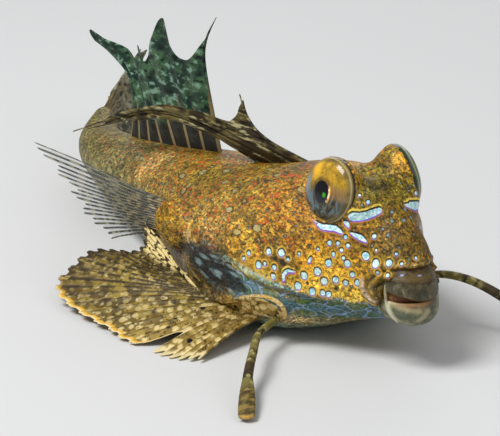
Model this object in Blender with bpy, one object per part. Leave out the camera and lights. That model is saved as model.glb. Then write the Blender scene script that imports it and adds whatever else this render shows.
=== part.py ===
"""Fingered dragonet (Dactylopus dactylopus), a life-size still model resting on a floor.

Metres, +Z up. The head points along +X, the fish's left side is +Y, and the floor is z = 0.
A station is a distance in millimetres behind the front of the open jaws, along the midline.
The pieces are shaped with that point at x = 0, and are moved together onto the origin at the end.
"""
import math

import bmesh
import bpy
from mathutils import Matrix, Vector

MM = 0.001

# Driving dimensions, in millimetres
SNOUT = 1.5                 # station of the blunt snout, above the mouth
NOSE_ROUNDING = 4.0         # length over which the snout closes
NOSE_HEIGHT = 18.4
BODY_END = 133.0            # end of the tail stalk, where the caudal rays start
GAP = 0.3                   # between touching nodes
HEAD_END = 44.0
TORSO_END = 90.0
BODY_SIDES = 28
BODY_STEP = 3.4             # distance between body rings

# Midline heading, in degrees towards the left side, at each station
BEND = ((-10, 0), (86, 0), (104, 6), (118, 18), (128, 31), (136, 42), (152, 46), (175, 46))

# station, top, bottom, half width, height of the widest line, upper and lower roundness
SECTIONS = (
    (1.5, 25.2, 10.0, 4.1, 16.0, 2.4, 2.2),
    (4.0, 25.7, 8.4, 4.1, 15.2, 2.5, 2.2),
    (6.0, 26.7, 7.4, 4.8, 14.5, 2.5, 2.3),
    (9.0, 27.9, 6.2, 6.8, 13.8, 2.5, 2.5),
    (13.0, 29.3, 5.0, 9.5, 13.2, 2.1, 2.7),
    (17.0, 29.9, 3.4, 11.9, 12.8, 1.9, 2.8),
    (21.0, 29.7, 1.7, 14.3, 12.5, 1.9, 2.9),
    (26.0, 28.9, 0.0, 16.8, 12.2, 1.9, 3.0),
    (33.0, 27.2, -0.4, 18.8, 11.8, 2.0, 3.0),
    (41.0, 24.9, -0.5, 19.2, 11.4, 2.0, 3.0),
    (50.0, 22.9, -0.5, 16.6, 11.0, 2.1, 2.9),
    (63.0, 21.3, -0.4, 13.7, 10.4, 2.1, 2.8),
    (78.0, 18.9, 0.0, 11.2, 9.8, 2.1, 2.6),
    (95.0, 16.3, 2.2, 8.7, 9.4, 2.1, 2.3),
    (110.0, 14.2, 4.0, 6.2, 9.1, 2.1, 2.1),
    (122.0, 13.0, 4.8, 4.6, 8.8, 2.1, 2.1),
    (133.0, 13.3, 4.6, 2.8, 8.9, 2.1, 2.1),
)

EYE_RIM = (-15.7, 7.7, 28.0)    # centre of the rim on the left side
EYE_TURN = 80.0                 # degrees from straight ahead to the side
EYE_LIFT = 12.0                 # degrees above level
EYE_RADIUS = 4.95
EYE_HALF_DEPTH = 2.2
EYE_SINK = 0.8                  # from the rim to the middle of the eyeball
BULGE_RADIUS = 5.65             # the skin around the eyeball
BULGE_SINK = 0.6

MEMBRANE = 0.25                 # half thickness of a fin between its rays
RIDGE = 0.2                     # height of a ray over the membrane
EDGE = 0.13                     # half thickness at a fin's margin


def mm(*values):
    return Vector(values) * MM


def clear_scene():
    for obj in list(bpy.data.objects):
        bpy.data.objects.remove(obj)


def collection(name):
    made = bpy.data.collections.new(name)
    bpy.context.scene.collection.children.link(made)
    return made


def smooth(table, at, column=1):
    """Reads a column of a table at a place between its rows, along a curve that never overshoots them."""
    rows = [(row[0], row[column]) for row in table]
    if at <= rows[0][0]:
        return rows[0][1]
    if at >= rows[-1][0]:
        return rows[-1][1]
    k = next(i for i in range(len(rows) - 1) if rows[i][0] <= at <= rows[i + 1][0])

    def slope(i):
        if i == 0 or i == len(rows) - 1:
            return 0.0
        before = (rows[i][1] - rows[i - 1][1]) / (rows[i][0] - rows[i - 1][0])
        after = (rows[i + 1][1] - rows[i][1]) / (rows[i + 1][0] - rows[i][0])
        return 0.0 if before * after <= 0 else 2 * before * after / (before + after)

    span = rows[k + 1][0] - rows[k][0]
    t = (at - rows[k][0]) / span
    return (
        rows[k][1] * (1 + 2 * t) * (1 - t) ** 2
        + slope(k) * span * t * (1 - t) ** 2
        + rows[k + 1][1] * t * t * (3 - 2 * t)
        + slope(k + 1) * span * t * t * (t - 1)
    )


def midline(station):
    """The midline's x and y, and its heading in radians, at a station."""
    x, y, done = 0.0, 0.0, 0.0
    step = 1.0 if station >= 0 else -1.0
    while abs(done - station) > 1e-9:
        move = step if abs(station - done) > 1.0 else station - done
        heading = math.radians(smooth(BEND, done + move / 2))
        x -= move * math.cos(heading)
        y += move * math.sin(heading)
        done += move
    return x, y, math.radians(smooth(BEND, station))


def place(station, side, height):
    """A point at a station, a distance to the left of the midline, and a height."""
    x, y, heading = midline(station)
    return mm(x + side * math.sin(heading), y + side * math.cos(heading), height)


def section_point(station, angle, grow=0.0):
    """The skin at a station, at an angle round the body from the left side over the back."""
    top, bottom, width, middle, upper, lower = (
        smooth(SECTIONS, station, column) for column in range(1, 7)
    )
    across, over = math.cos(angle), math.sin(angle)
    power = 2 / (upper if over >= 0 else lower)
    reach = top - middle if over >= 0 else middle - bottom
    side = (width + grow) * math.copysign(abs(across) ** power, across)
    height = middle + (reach + grow) * math.copysign(abs(over) ** power, over)
    into = min(1.0, (station - SNOUT + grow) / NOSE_ROUNDING)
    closing = math.sqrt(max(0.0, 1 - (1 - into) ** 2))
    return place(station, side * closing, NOSE_HEIGHT + (height - NOSE_HEIGHT) * closing)


def mesh_object(name, bm, group):
    mesh = bpy.data.meshes.new(name)
    bm.to_mesh(mesh)
    bm.free()
    obj = bpy.data.objects.new(name, mesh)
    group.objects.link(obj)
    return obj


def body_loft(name, group, grow):
    """The whole trunk and head without eyes, as one closed loft of rings."""
    front, back = SNOUT - grow, BODY_END + grow
    stations = [front + d for d in (0.04, 0.35, 1.0, 2.0, 3.4, 5.2)]
    first = stations[-1]
    rest = round((back - first) / BODY_STEP)
    stations += [first + (back - first) * k / rest for k in range(1, rest + 1)]
    bm = bmesh.new()
    rings = []
    for station in stations:
        turns = [2 * math.pi * k / BODY_SIDES for k in range(BODY_SIDES)]
        rings.append([bm.verts.new(section_point(station, turn, grow)) for turn in turns])
    for near, far in zip(rings, rings[1:]):
        for k in range(BODY_SIDES):
            n = (k + 1) % BODY_SIDES
            bm.faces.new((near[k], near[n], far[n], far[k]))
    bm.faces.new(rings[0])
    bm.faces.new(rings[-1])
    bmesh.ops.recalc_face_normals(bm, faces=bm.faces)
    return mesh_object(name, bm, group)


def ball(name, group, centre, axes, facing=None, segments=20, rings=12):
    """An ellipsoid, its half axes in millimetres, its Z turned to face a direction."""
    bm = bmesh.new()
    bmesh.ops.create_uvsphere(bm, u_segments=segments, v_segments=rings, radius=1.0)
    turn = Vector(facing).to_track_quat("Z", "Y").to_matrix().to_4x4() if facing else Matrix()
    size = Matrix.Diagonal((*(a * MM for a in axes), 1.0))
    bm.transform(Matrix.Translation(mm(*centre)) @ turn @ size)
    return mesh_object(name, bm, group)


def cut(obj, point, normal):
    """Removes what lies on the side that the normal points to, and closes the cut."""
    bm = bmesh.new()
    bm.from_mesh(obj.data)
    geometry = bm.verts[:] + bm.edges[:] + bm.faces[:]
    made = bmesh.ops.bisect_plane(
        bm, geom=geometry, plane_co=point, plane_no=normal, dist=1e-7, clear_outer=True
    )
    edges = [e for e in made["geom_cut"] if isinstance(e, bmesh.types.BMEdge)]
    if edges:
        bmesh.ops.holes_fill(bm, edges=edges, sides=0)
    bmesh.ops.recalc_face_normals(bm, faces=bm.faces)
    bm.to_mesh(obj.data)
    bm.free()


def largest_piece(obj):
    """Keeps only the largest closed surface of a mesh."""
    bm = bmesh.new()
    bm.from_mesh(obj.data)
    left, pieces = set(bm.verts), []
    while left:
        piece, edge = set(), [left.pop()]
        while edge:
            vert = edge.pop()
            piece.add(vert)
            near = {e.other_vert(vert) for e in vert.link_edges} & left
            left -= near
            edge.extend(near)
        pieces.append(piece)
    pieces.sort(key=len)
    bmesh.ops.delete(bm, geom=[v for p in pieces[:-1] for v in p], context="VERTS")
    bm.to_mesh(obj.data)
    bm.free()


def combine(obj, others, operation, solver="EXACT"):
    """Applies one Boolean with a collection of closed meshes, and removes them."""
    group = bpy.data.collections.new("joined")
    for other in others:
        group.objects.link(other)
    modifier = obj.modifiers.new("Join", "BOOLEAN")
    modifier.operation = operation
    modifier.operand_type = "COLLECTION"
    modifier.collection = group
    modifier.solver = solver
    apply_modifiers(obj)
    for other in others:
        bpy.data.objects.remove(other)
    bpy.data.collections.remove(group)
    return obj


def apply_modifiers(obj):
    bpy.context.view_layer.update()
    graph = bpy.context.evaluated_depsgraph_get()
    mesh = bpy.data.meshes.new_from_object(obj.evaluated_get(graph))
    obj.modifiers.clear()
    obj.data = mesh


def copy_of(obj, name, group):
    made = obj.copy()
    made.data = obj.data.copy()
    made.name = name
    group.objects.link(made)
    return made


def subtract(obj, cutter):
    """Cuts obj by a kept cutter, and keeps the largest piece that is left."""
    modifier = obj.modifiers.new("Cut", "BOOLEAN")
    modifier.operation = "DIFFERENCE"
    modifier.object = cutter
    apply_modifiers(obj)
    largest_piece(obj)


def tube(name, group, points, radii, sides=3):
    """A tapered round rod through points, as a closed mesh."""
    curve = bpy.data.curves.new(name, "CURVE")
    curve.dimensions = "3D"
    curve.bevel_depth = MM
    curve.bevel_resolution = sides - 2
    curve.use_fill_caps = True
    spline = curve.splines.new("POLY")
    spline.points.add(len(points) - 1)
    for knot, point, radius in zip(spline.points, points, radii):
        knot.co = (*point, 1.0)
        knot.radius = radius
    rod = bpy.data.objects.new(name, curve)
    group.objects.link(rod)
    bpy.context.view_layer.update()
    graph = bpy.context.evaluated_depsgraph_get()
    mesh = bpy.data.meshes.new_from_object(rod.evaluated_get(graph))
    bpy.data.objects.remove(rod)
    bm = bmesh.new()
    bm.from_mesh(mesh)
    bmesh.ops.remove_doubles(bm, verts=bm.verts, dist=1e-6)
    bmesh.ops.recalc_face_normals(bm, faces=bm.faces)
    return mesh_object(name, bm, group)


def along(points, t):
    """A point at a share t of a smooth curve through points."""
    spot = min(max(t, 0.0), 1.0) * (len(points) - 1)
    k = min(int(spot), len(points) - 2)
    f = spot - k
    a, b = points[k], points[k + 1]
    before = points[k - 1] if k > 0 else a * 2 - b
    after = points[k + 2] if k + 2 < len(points) else b * 2 - a
    return (
        a * (2 * f**3 - 3 * f**2 + 1)
        + (b - before) * 0.5 * (f**3 - 2 * f**2 + f)
        + b * (3 * f**2 - 2 * f**3)
        + (after - a) * 0.5 * (f**3 - f**2)
    )


def fan_point(guides, u, t):
    """A point of the sheet through guide curves: u runs across them and t along them."""
    return along([along(guide, t) for guide in guides], u)


def sheet(name, group, centre, half, columns, rows, sink):
    """A closed fin: a grid of centre points thickened to both sides by half(u, t).

    The first row lies off the root by the vector sink, inside what the fin grows from.
    Both faces are split into the same triangles, so that a thin fin never crosses itself."""
    us = [k / columns for k in range(columns + 1)]
    ts = [0.0] + [k / rows for k in range(rows + 1)]
    middle = [[centre(u, t) + (sink if j == 0 else Vector()) for j, t in enumerate(ts)] for u in us]
    rows += 1
    bm = bmesh.new()
    front, back = [], []
    for i, u in enumerate(us):
        front.append([])
        back.append([])
        for j, t in enumerate(ts):
            over = middle[min(i + 1, columns)][j] - middle[max(i - 1, 0)][j]
            out = middle[i][min(j + 1, rows)] - middle[i][max(j - 1, 0)]
            normal = over.cross(out).normalized()
            front[i].append(bm.verts.new(middle[i][j] + normal * half(u, t) * MM))
            back[i].append(bm.verts.new(middle[i][j] - normal * half(u, t) * MM))
    for i in range(columns):
        for j in range(rows):
            for face, turned in ((front, False), (back, True)):
                a, b, c, d = face[i][j], face[i + 1][j], face[i + 1][j + 1], face[i][j + 1]
                for corners in ((a, b, c), (a, c, d)) if (i + j) % 2 else ((a, b, d), (b, c, d)):
                    bm.faces.new(corners[::-1] if turned else corners)
    border = [(i, 0) for i in range(columns)]
    border += [(columns, j) for j in range(rows)]
    border += [(i, rows) for i in range(columns, 0, -1)]
    border += [(0, j) for j in range(rows, 0, -1)]
    for (i, j), (m, n) in zip(border, border[1:] + border[:1]):
        bm.faces.new((front[i][j], back[i][j], back[m][n]))
        bm.faces.new((front[i][j], back[m][n], front[m][n]))
    bmesh.ops.recalc_face_normals(bm, faces=bm.faces)
    return mesh_object(name, bm, group)


def thickness(rays, flesh=0.0, flesh_end=0.2):
    """Half thickness of a fin with evenly spread rays, thick at a fleshy root."""

    def half(u, t):
        ray = 0.5 + 0.5 * math.cos(2 * math.pi * u * (rays - 1))
        body = MEMBRANE + RIDGE * ray
        thin = max(0.0, (t - 0.6) / 0.4) ** 2
        fat = flesh * max(0.0, 1 - max(t, 0.0) / flesh_end) ** 0.7
        return body * (1 - thin) + EDGE * thin + fat

    return half


def scallop(rays, depth):
    """How far out the margin reaches at u: whole at each ray, less by depth between rays."""

    def reach(u):
        ray = 0.5 + 0.5 * math.cos(2 * math.pi * u * (rays - 1))
        return 1 - depth * (1 - ray)

    return reach


def fin(name, group, guides, rays, steps, rows, depth, sink, flesh=0.0, flesh_end=0.2, reach=None):
    """A fin with evenly spread rays, steps columns from one ray to the next."""
    reach = reach or scallop(rays, depth)

    def centre(u, t):
        return fan_point(guides, u, t * reach(u))

    half = thickness(rays, flesh, flesh_end)
    return sheet(name, group, centre, half, (rays - 1) * steps, rows, mm(*sink))


def guide(*points):
    return [mm(*point) for point in points]


# Eyes, jaws and body

def eye_axis(side):
    turn, lift = math.radians(EYE_TURN), math.radians(EYE_LIFT)
    return Vector(
        (math.cos(turn) * math.cos(lift), side * math.sin(turn) * math.cos(lift), math.sin(lift))
    )


def eye_centre(side, sink):
    rim = Vector((EYE_RIM[0], side * EYE_RIM[1], EYE_RIM[2]))
    return rim - eye_axis(side) * sink


def eye(name, group, side, grow=0.0):
    axes = (EYE_RADIUS + grow, EYE_RADIUS + grow, EYE_HALF_DEPTH + grow)
    return ball(name, group, eye_centre(side, EYE_SINK), axes, eye_axis(side), 20, 12)


def eye_bulge(group, side, grow):
    """The skin round an eyeball, open at the rim."""
    axis = eye_axis(side)
    radii = (BULGE_RADIUS + grow,) * 3
    bulge = ball("bulge", group, eye_centre(side, BULGE_SINK), radii, axis, 20, 14)
    cut(bulge, eye_centre(side, -grow) * MM, axis)
    return bulge


FOLD = ((4.4, 14), (6.2, 4), (7.2, -14), (6.8, -32), (5.2, -46))    # station and angle


def lip_fold(group, side, grow):
    """The fold of skin behind a corner of the mouth."""
    points = []
    for station, angle in FOLD:
        turn = math.radians(angle if side > 0 else 180 - angle)
        points.append(section_point(station, turn))
    knots = [along(points, k / 8) for k in range(9)]
    radii = [grow + 0.35 + 0.4 * math.sin(math.pi * k / 8) for k in range(9)]
    return tube("fold", group, knots, radii, 3)


def whole_body(name, group, grow=0.0):
    """Head, trunk and tail stalk as one solid, or the same grown on all sides."""
    body = body_loft(name, group, grow)
    extras = [eye_bulge(group, side, grow) for side in (1, -1)]
    extras += [lip_fold(group, side, grow) for side in (1, -1)]
    return combine(body, extras, "UNION")


PITS = ((7.0, 44, 0.5), (9.6, 50, 0.5), (41.0, 52, 0.9))    # station, angle round the body, radius


def pits(group):
    """Two nostrils and a small gill opening on each side."""
    made = []
    for station, angle, radius in PITS:
        for turn in (angle, 180 - angle):
            centre = section_point(station, math.radians(turn)) / MM
            made.append(ball("pit", group, centre, (radius,) * 3, None, 8, 6))
    return made


def clearance(group):
    """The body grown by the gap, to trim what grows from it."""
    grown = whole_body("clearance", group, GAP)
    grown.hide_render = True
    grown.display_type = "WIRE"
    return grown


def split_body(body, group):
    """Parts the body into head, torso and tail with thin cuts square to the midline."""
    spans = (("head", None, HEAD_END), ("torso", HEAD_END, TORSO_END), ("tail", TORSO_END, None))
    made = []
    for name, start, end in spans:
        piece = copy_of(body, name, group)
        for station, sign in ((start, -1), (end, 1)):
            if station is None:
                continue
            heading = midline(station)[2]
            back = Vector((-math.cos(heading), math.sin(heading), 0.0))
            shift = GAP / 2 * (1 if sign < 0 else -1)
            cut(piece, place(station + shift, 0, 0), back * sign)
        made.append(piece)
    bpy.data.objects.remove(body)
    return made


MOUTH_WIDTH = 5.4            # half the width of the jaws
MOUTH_BACK = -3.3            # x of their widest place
UPPER_LIP = 12.6             # heights of the lips' facing edges
LOWER_LIP = 11.3
LIP = 0.75


def lip(group, height, drop, reach, wide):
    """The rounded edge of a jaw, a bent rod from one corner of the mouth to the other."""
    points, radii = [], []
    for k in range(13):
        turn = math.radians(-96 + 192 * k / 12)
        end = abs(k - 6) / 6
        x = MOUTH_BACK + reach * math.cos(turn)
        points.append(mm(x, wide * math.sin(turn), height - drop * end**2))
        radii.append(LIP * (1 - 0.35 * end))
    return tube("lip", group, points, radii, 4)


def jaws(group):
    """The upper and lower jaw, caps on the front of the head with the mouth open between them."""
    upper = ball("upper_jaw", group, (MOUTH_BACK, 0, 14.3), (4.9, MOUTH_WIDTH, 3.1))
    cut(upper, mm(0, 0, UPPER_LIP + LIP), Vector((0, 0, -1)))
    combine(upper, [lip(group, UPPER_LIP + LIP, 0.5, 3.9, 4.55)], "UNION")
    lower = ball("lower_jaw", group, (MOUTH_BACK - 0.4, 0, 11.0), (4.8, MOUTH_WIDTH - 0.1, 3.9))
    cut(lower, mm(0, 0, LOWER_LIP - LIP), Vector((0, 0, 1)))
    combine(lower, [lip(group, LOWER_LIP - LIP, 0.3, 3.9, 4.75)], "UNION")
    return upper, lower


# Fins

D1_SPINES = (
    guide((-34, 0, 26.4), (-45, -1.3, 28.0), (-51, -2.2, 30.8), (-54.2, -2.8, 35.4)),
    guide((-39, 0, 25.2), (-51, -3.0, 27.6), (-63, -5.2, 29.2), (-75, -6.4, 28.4),
          (-92, -7.6, 22.3), (-108, -8.2, 16.0)),
    guide((-44, 0, 23.8), (-55, -3.4, 25.6), (-67, -5.6, 26.4), (-80, -7.0, 24.6)),
    guide((-49, 0, 22.6), (-55, -2.6, 24.4), (-62, -4.6, 25.4)),
)
D1_WEB = (0.94, 0.44, 0.72, 0.9)    # how far along each spine its membrane reaches


def first_dorsal(group):
    """Four spines folded back to the right, the second drawn out into a long thread."""
    guides = []
    for spine, web in zip(D1_SPINES, D1_WEB):
        guides.append([along(spine, web * k / 4) for k in range(5)])
    fan = fin("dorsal_fin_first", group, guides, 4, 4, 7, 0.16, (0, 0, -2))
    rods = []
    for spine, steps, thick in zip(D1_SPINES, (8, 18, 11, 6), (0.55, 0.55, 0.45, 0.4)):
        points = [along(spine, k / steps) for k in range(steps + 1)]
        radii = [max(0.16, thick * (1 - 0.75 * k / steps)) for k in range(steps + 1)]
        rods.append(tube("spine", group, points, radii, 3))
    return combine(fan, rods, "UNION", "MANIFOLD")


# The second dorsal's eight rays from root to tip, swept back by the current
D2_RAYS = (
    guide((-63.5, 0, 20.2), (-67.6, 0, 29.0), (-70.4, 0, 37.0), (-69.6, 0, 41.4), (-66.2, 0, 46.0)),
    guide((-69.0, 0, 19.2), (-72.6, 0, 25.6), (-75.4, 0, 30.8), (-77.5, 0, 34.6), (-79.2, 0, 37.4)),
    guide((-74.5, 0, 18.2), (-78.6, 0, 25.2), (-81.8, 0, 31.4), (-84.4, 0, 37.0), (-86.6, 0, 42.0)),
    guide((-80.0, 0, 17.4), (-84.0, 0, 22.8), (-87.2, 0, 27.4), (-90.0, 0, 31.0), (-92.2, 0, 34.2)),
    guide((-85.5, 0, 16.6), (-89.2, 0.2, 21.8), (-92.2, 0.4, 26.6), (-94.8, 0.6, 30.8),
          (-97.4, 0.8, 34.6)),
    guide((-91.0, 0.2, 15.8), (-93.6, 0.6, 21.4), (-96.6, 1.0, 26.0), (-100.6, 1.4, 30.0),
          (-105.4, 1.8, 32.6)),
    guide((-96.0, 0.6, 14.8), (-97.8, 1.0, 21.6), (-101.2, 1.6, 27.6), (-109.6, 2.2, 31.4),
          (-119.6, 2.8, 33.4)),
    guide((-101.0, 1.2, 14.0), (-101.0, 1.6, 20.4), (-103.6, 2.2, 26.4), (-110.6, 2.8, 28.8),
          (-120.0, 3.4, 30.4)),
)


def second_dorsal(group):
    return fin("dorsal_fin_second", group, D2_RAYS, 8, 3, 7, 0.16, (0, 0, -1))


CAUDAL_TIPS = (17.0, 19.5, 18.5, 15.5, 12.0, 8.5, 5.4, 3.0, 1.4, 0.7)
CAUDAL_LENGTHS = (26, 31, 34, 36, 37.5, 37, 35, 32.5, 29, 25)


def caudal(group):
    guides = []
    for k, (height, length) in enumerate(zip(CAUDAL_TIPS, CAUDAL_LENGTHS)):
        low = smooth(SECTIONS, BODY_END, 2)
        high = smooth(SECTIONS, BODY_END, 1)
        share = 0.08 + 0.84 * (1 - k / (len(CAUDAL_TIPS) - 1))
        start = low + (high - low) * share
        points = []
        for f in (0.0, 0.33, 0.66, 1.0):
            points.append(place(BODY_END - 1.5 + length * f, 0, start + (height - start) * f**0.8))
        guides.append(points)
    return fin("caudal_fin", group, guides, 10, 2, 6, 0.1, (1.2, -0.8, 0), 1.0, 0.12)


def anal(group):
    """Seven rays laid over to the left, their tips on the floor."""
    guides = []
    for k in range(7):
        station = 80 + 26 * k / 6
        low = smooth(SECTIONS, station, 2)
        length = 7.0 + 4.0 * math.sin(math.pi * (k + 0.6) / 7)
        root = place(station, 0.2, low + 0.9)
        tip = place(station + 4.5, length, 0.3)
        guides.append([root, root.lerp(tip, 0.5), tip])
    return fin("anal_fin", group, guides, 7, 3, 4, 0.22, (0, -1, 0.5))


PECTORAL_RIGHT = (
    guide((-46, -13.0, 17.5), (-54.0, -18.6, 18.2), (-62.5, -28.0, 23.5), (-69.5, -35.6, 27.2)),
    guide((-46, -13.0, 15.5), (-54.4, -19.0, 16.4), (-61.0, -27.0, 19.6), (-67.0, -33.8, 22.8)),
    guide((-46, -13.0, 13.5), (-54.8, -19.2, 14.6), (-60.0, -26.0, 16.6), (-63.6, -31.8, 18.6)),
    guide((-46, -13.0, 11.5), (-55.2, -19.2, 12.8), (-59.0, -25.0, 13.8), (-60.8, -30.0, 14.6)),
    guide((-46, -13.0, 9.5), (-55.4, -18.8, 11.0), (-57.6, -22.8, 10.8), (-57.8, -26.4, 10.6)),
)
PECTORAL_LEFT = (
    guide((-46, 13.0, 17.5), (-54.0, 18.2, 17.2), (-64.5, 21.2, 15.8), (-75.5, 22.6, 13.6)),
    guide((-46, 13.0, 15.5), (-54.4, 18.6, 15.4), (-64.0, 22.2, 13.6), (-74.0, 24.0, 10.8)),
    guide((-46, 13.0, 13.5), (-54.8, 18.8, 13.6), (-63.0, 22.6, 11.6), (-71.5, 24.8, 8.4)),
    guide((-46, 13.0, 11.5), (-55.2, 18.8, 11.8), (-61.5, 22.4, 9.8), (-68.0, 24.6, 6.8)),
    guide((-46, 13.0, 9.5), (-55.4, 18.4, 10.0), (-59.5, 21.0, 8.6), (-63.5, 22.8, 6.6)),
)


def pectoral(name, group, guides):
    return fin(name, group, guides, 18, 2, 6, 0.05, (1, 0, 0), 1.6, 0.42)


PELVIC_RIGHT = (
    guide((-27.0, -9.5, 4.2), (-24.4, -19.4, 3.0), (-21.4, -28.6, 0.2)),
    guide((-28.0, -9.5, 4.1), (-28.2, -21.0, 3.6), (-28.8, -32.2, 0.2)),
    guide((-29.2, -9.5, 3.9), (-33.4, -23.0, 4.1), (-40.4, -36.2, 0.3)),
    guide((-31.0, -9.5, 3.6), (-44.0, -25.5, 5.0), (-59.8, -36.8, 2.4)),
    guide((-33.5, -10.0, 3.6), (-48.0, -22.6, 5.6), (-66.6, -26.4, 5.6)),
    guide((-37.0, -11.0, 4.0), (-48.0, -19.8, 6.6), (-58.0, -21.2, 8.0)),
)
PELVIC_LEFT = (
    guide((-27.0, 9.5, 4.2), (-29.0, 17.0, 2.8), (-33.0, 23.4, 0.2)),
    guide((-28.0, 9.5, 4.1), (-32.5, 18.0, 3.0), (-40.5, 25.0, 0.2)),
    guide((-29.2, 9.5, 3.9), (-37.0, 19.0, 3.2), (-50.5, 26.0, 0.3)),
    guide((-31.0, 9.5, 3.6), (-42.5, 19.8, 3.6), (-62.5, 26.0, 1.2)),
    guide((-33.5, 10.0, 3.6), (-47.0, 19.6, 4.4), (-68.0, 21.8, 3.2)),
    guide((-37.0, 11.0, 4.0), (-48.0, 18.4, 5.8), (-60.0, 18.4, 6.4)),
)


def pelvic(name, group, guides):
    """A broad fan of branched rays, its front lobe set off by a notch."""
    inward = -math.copysign(2.0, guides[0][0].y)
    teeth = scallop(25, 0.07)

    def reach(u):
        notch = 0.3 * math.exp(-(((u - 0.26) / 0.025) ** 2))
        return teeth(u) - notch

    return fin(name, group, guides, 25, 2, 5, 0.07, (0, inward, 0.4), 0.5, 0.3, reach)


FINGER_RIGHT = guide(
    (-24.0, -11.0, 4.2), (-18.0, -19.4, 4.4), (-11.0, -25.0, 4.2), (-4.4, -30.0, 2.6), (5.0, -35.8, 0.4)
)
FINGER_LEFT = guide(
    (-24.0, 11.0, 4.2), (-17.5, 14.0, 8.6), (-10.5, 16.6, 9.6), (-4.0, 20.6, 7.0), (3.4, 27.0, 0.3)
)
FINGER_ROOT, FINGER_TIP = 0.62, 1.45     # half widths
DIGITS = 4


def finger(name, group, path):
    """The free first spine and ray of a pelvic fin, ending in short digits."""
    steps = 16
    points = [along(path, 0.9 * k / steps) for k in range(steps + 1)]
    radii = [FINGER_ROOT + (0.95 - FINGER_ROOT) * (k / steps) ** 1.5 for k in range(steps + 1)]
    stem = tube(name, group, points, radii, 4)
    ahead = (path[-1] - along(path, 0.9)).normalized()
    across = ahead.cross(Vector((0, 0, 1))).normalized()
    start, tip = along(path, 0.74), path[-1]
    rods = []
    for k in range(DIGITS):
        side = (k / (DIGITS - 1) - 0.5) * 2
        spread = across * side * (FINGER_TIP - 0.5) * MM
        short = ahead * (0.5 * abs(side)) * MM
        line = [start + spread * 0.25, start.lerp(tip, 0.5) + spread * 0.8, tip + spread - short]
        knots = [along(line, f / 5) for f in range(6)]
        rods.append(tube("digit", group, knots, (0.62, 0.66, 0.66, 0.62, 0.55, 0.34), 3))
    combine(stem, rods, "UNION")
    return stem


# Assembly

COLOURS = {
    "head": (0.36, 0.25, 0.07), "torso": (0.38, 0.28, 0.12), "tail": (0.33, 0.27, 0.13),
    "eye": (0.30, 0.20, 0.06), "upper": (0.30, 0.20, 0.09), "lower": (0.55, 0.50, 0.38),
    "dorsal": (0.16, 0.16, 0.07), "caudal": (0.30, 0.27, 0.15), "anal": (0.16, 0.14, 0.10),
    "pectoral": (0.22, 0.24, 0.22), "pelvic": (0.42, 0.31, 0.14),
}


def paint(obj, roughness=0.5):
    word = obj.name.split("_")[0]
    material = bpy.data.materials.new(obj.name)
    material.use_nodes = True
    shader = material.node_tree.nodes["Principled BSDF"]
    shader.inputs["Base Color"].default_value = (*COLOURS[word], 1.0)
    shader.inputs["Roughness"].default_value = 0.12 if word == "eye" else roughness
    shader.inputs["Metallic"].default_value = 0.0
    obj.data.materials.clear()
    obj.data.materials.append(material)
    obj.data.shade_smooth()
    obj.data.set_sharp_from_angle(angle=math.radians(40))


def stand_on_origin(objects):
    """Moves all pieces so that the origin is at the middle of the box's bottom."""
    corners = [v.co for obj in objects for v in obj.data.vertices]
    low = [min(c[axis] for c in corners) for axis in range(3)]
    high = [max(c[axis] for c in corners) for axis in range(3)]
    move = Vector((-(low[0] + high[0]) / 2, -(low[1] + high[1]) / 2, -low[2]))
    for obj in objects:
        obj.data.transform(Matrix.Translation(move))


def main():
    clear_scene()
    fish = collection("fingered_dragonet")
    tools = collection("cutters")

    body = whole_body("body", fish)
    trimmer = clearance(tools)
    sockets = [eye("socket", fish, side, GAP) for side in (1, -1)]
    combine(body, sockets + pits(fish), "DIFFERENCE")
    cut(body, mm(0, 0, 0), Vector((0, 0, -1)))
    pieces = split_body(body, fish)
    pieces += [eye("eye_left", fish, 1), eye("eye_right", fish, -1)]

    grown = list(jaws(fish))
    grown += [first_dorsal(fish), second_dorsal(fish), caudal(fish), anal(fish)]
    grown += [pectoral("pectoral_fin_right", fish, PECTORAL_RIGHT)]
    grown += [pectoral("pectoral_fin_left", fish, PECTORAL_LEFT)]
    grown += [pelvic("pelvic_fin_right", fish, PELVIC_RIGHT)]
    grown += [pelvic("pelvic_fin_left", fish, PELVIC_LEFT)]
    grown += [finger("pelvic_finger_right", fish, FINGER_RIGHT)]
    grown += [finger("pelvic_finger_left", fish, FINGER_LEFT)]
    for obj in grown:
        subtract(obj, trimmer)
        cut(obj, mm(0, 0, 0), Vector((0, 0, -1)))
    for obj in pieces + grown:
        paint(obj)
    stand_on_origin(pieces + grown)


main()
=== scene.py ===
import math

import bmesh
import bpy
import numpy as np
from mathutils import Matrix, Vector
from mathutils.bvhtree import BVHTree


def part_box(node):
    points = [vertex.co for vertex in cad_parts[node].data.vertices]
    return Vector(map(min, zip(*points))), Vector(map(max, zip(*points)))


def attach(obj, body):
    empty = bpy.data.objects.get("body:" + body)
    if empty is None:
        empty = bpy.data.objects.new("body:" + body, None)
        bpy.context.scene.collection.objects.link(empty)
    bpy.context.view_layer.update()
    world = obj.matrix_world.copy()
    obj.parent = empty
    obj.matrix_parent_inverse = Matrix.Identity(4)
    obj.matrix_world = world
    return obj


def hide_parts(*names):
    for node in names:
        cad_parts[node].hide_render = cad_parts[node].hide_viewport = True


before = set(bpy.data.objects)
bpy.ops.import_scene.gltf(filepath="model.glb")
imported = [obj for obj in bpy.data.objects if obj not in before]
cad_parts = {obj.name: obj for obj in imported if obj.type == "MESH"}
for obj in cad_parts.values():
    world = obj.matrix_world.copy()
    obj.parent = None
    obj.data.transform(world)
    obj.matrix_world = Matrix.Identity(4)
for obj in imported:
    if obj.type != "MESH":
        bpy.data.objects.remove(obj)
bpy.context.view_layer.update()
scene = bpy.context.scene
scene.view_settings.view_transform = "Standard"
print("frame loaded")

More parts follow.
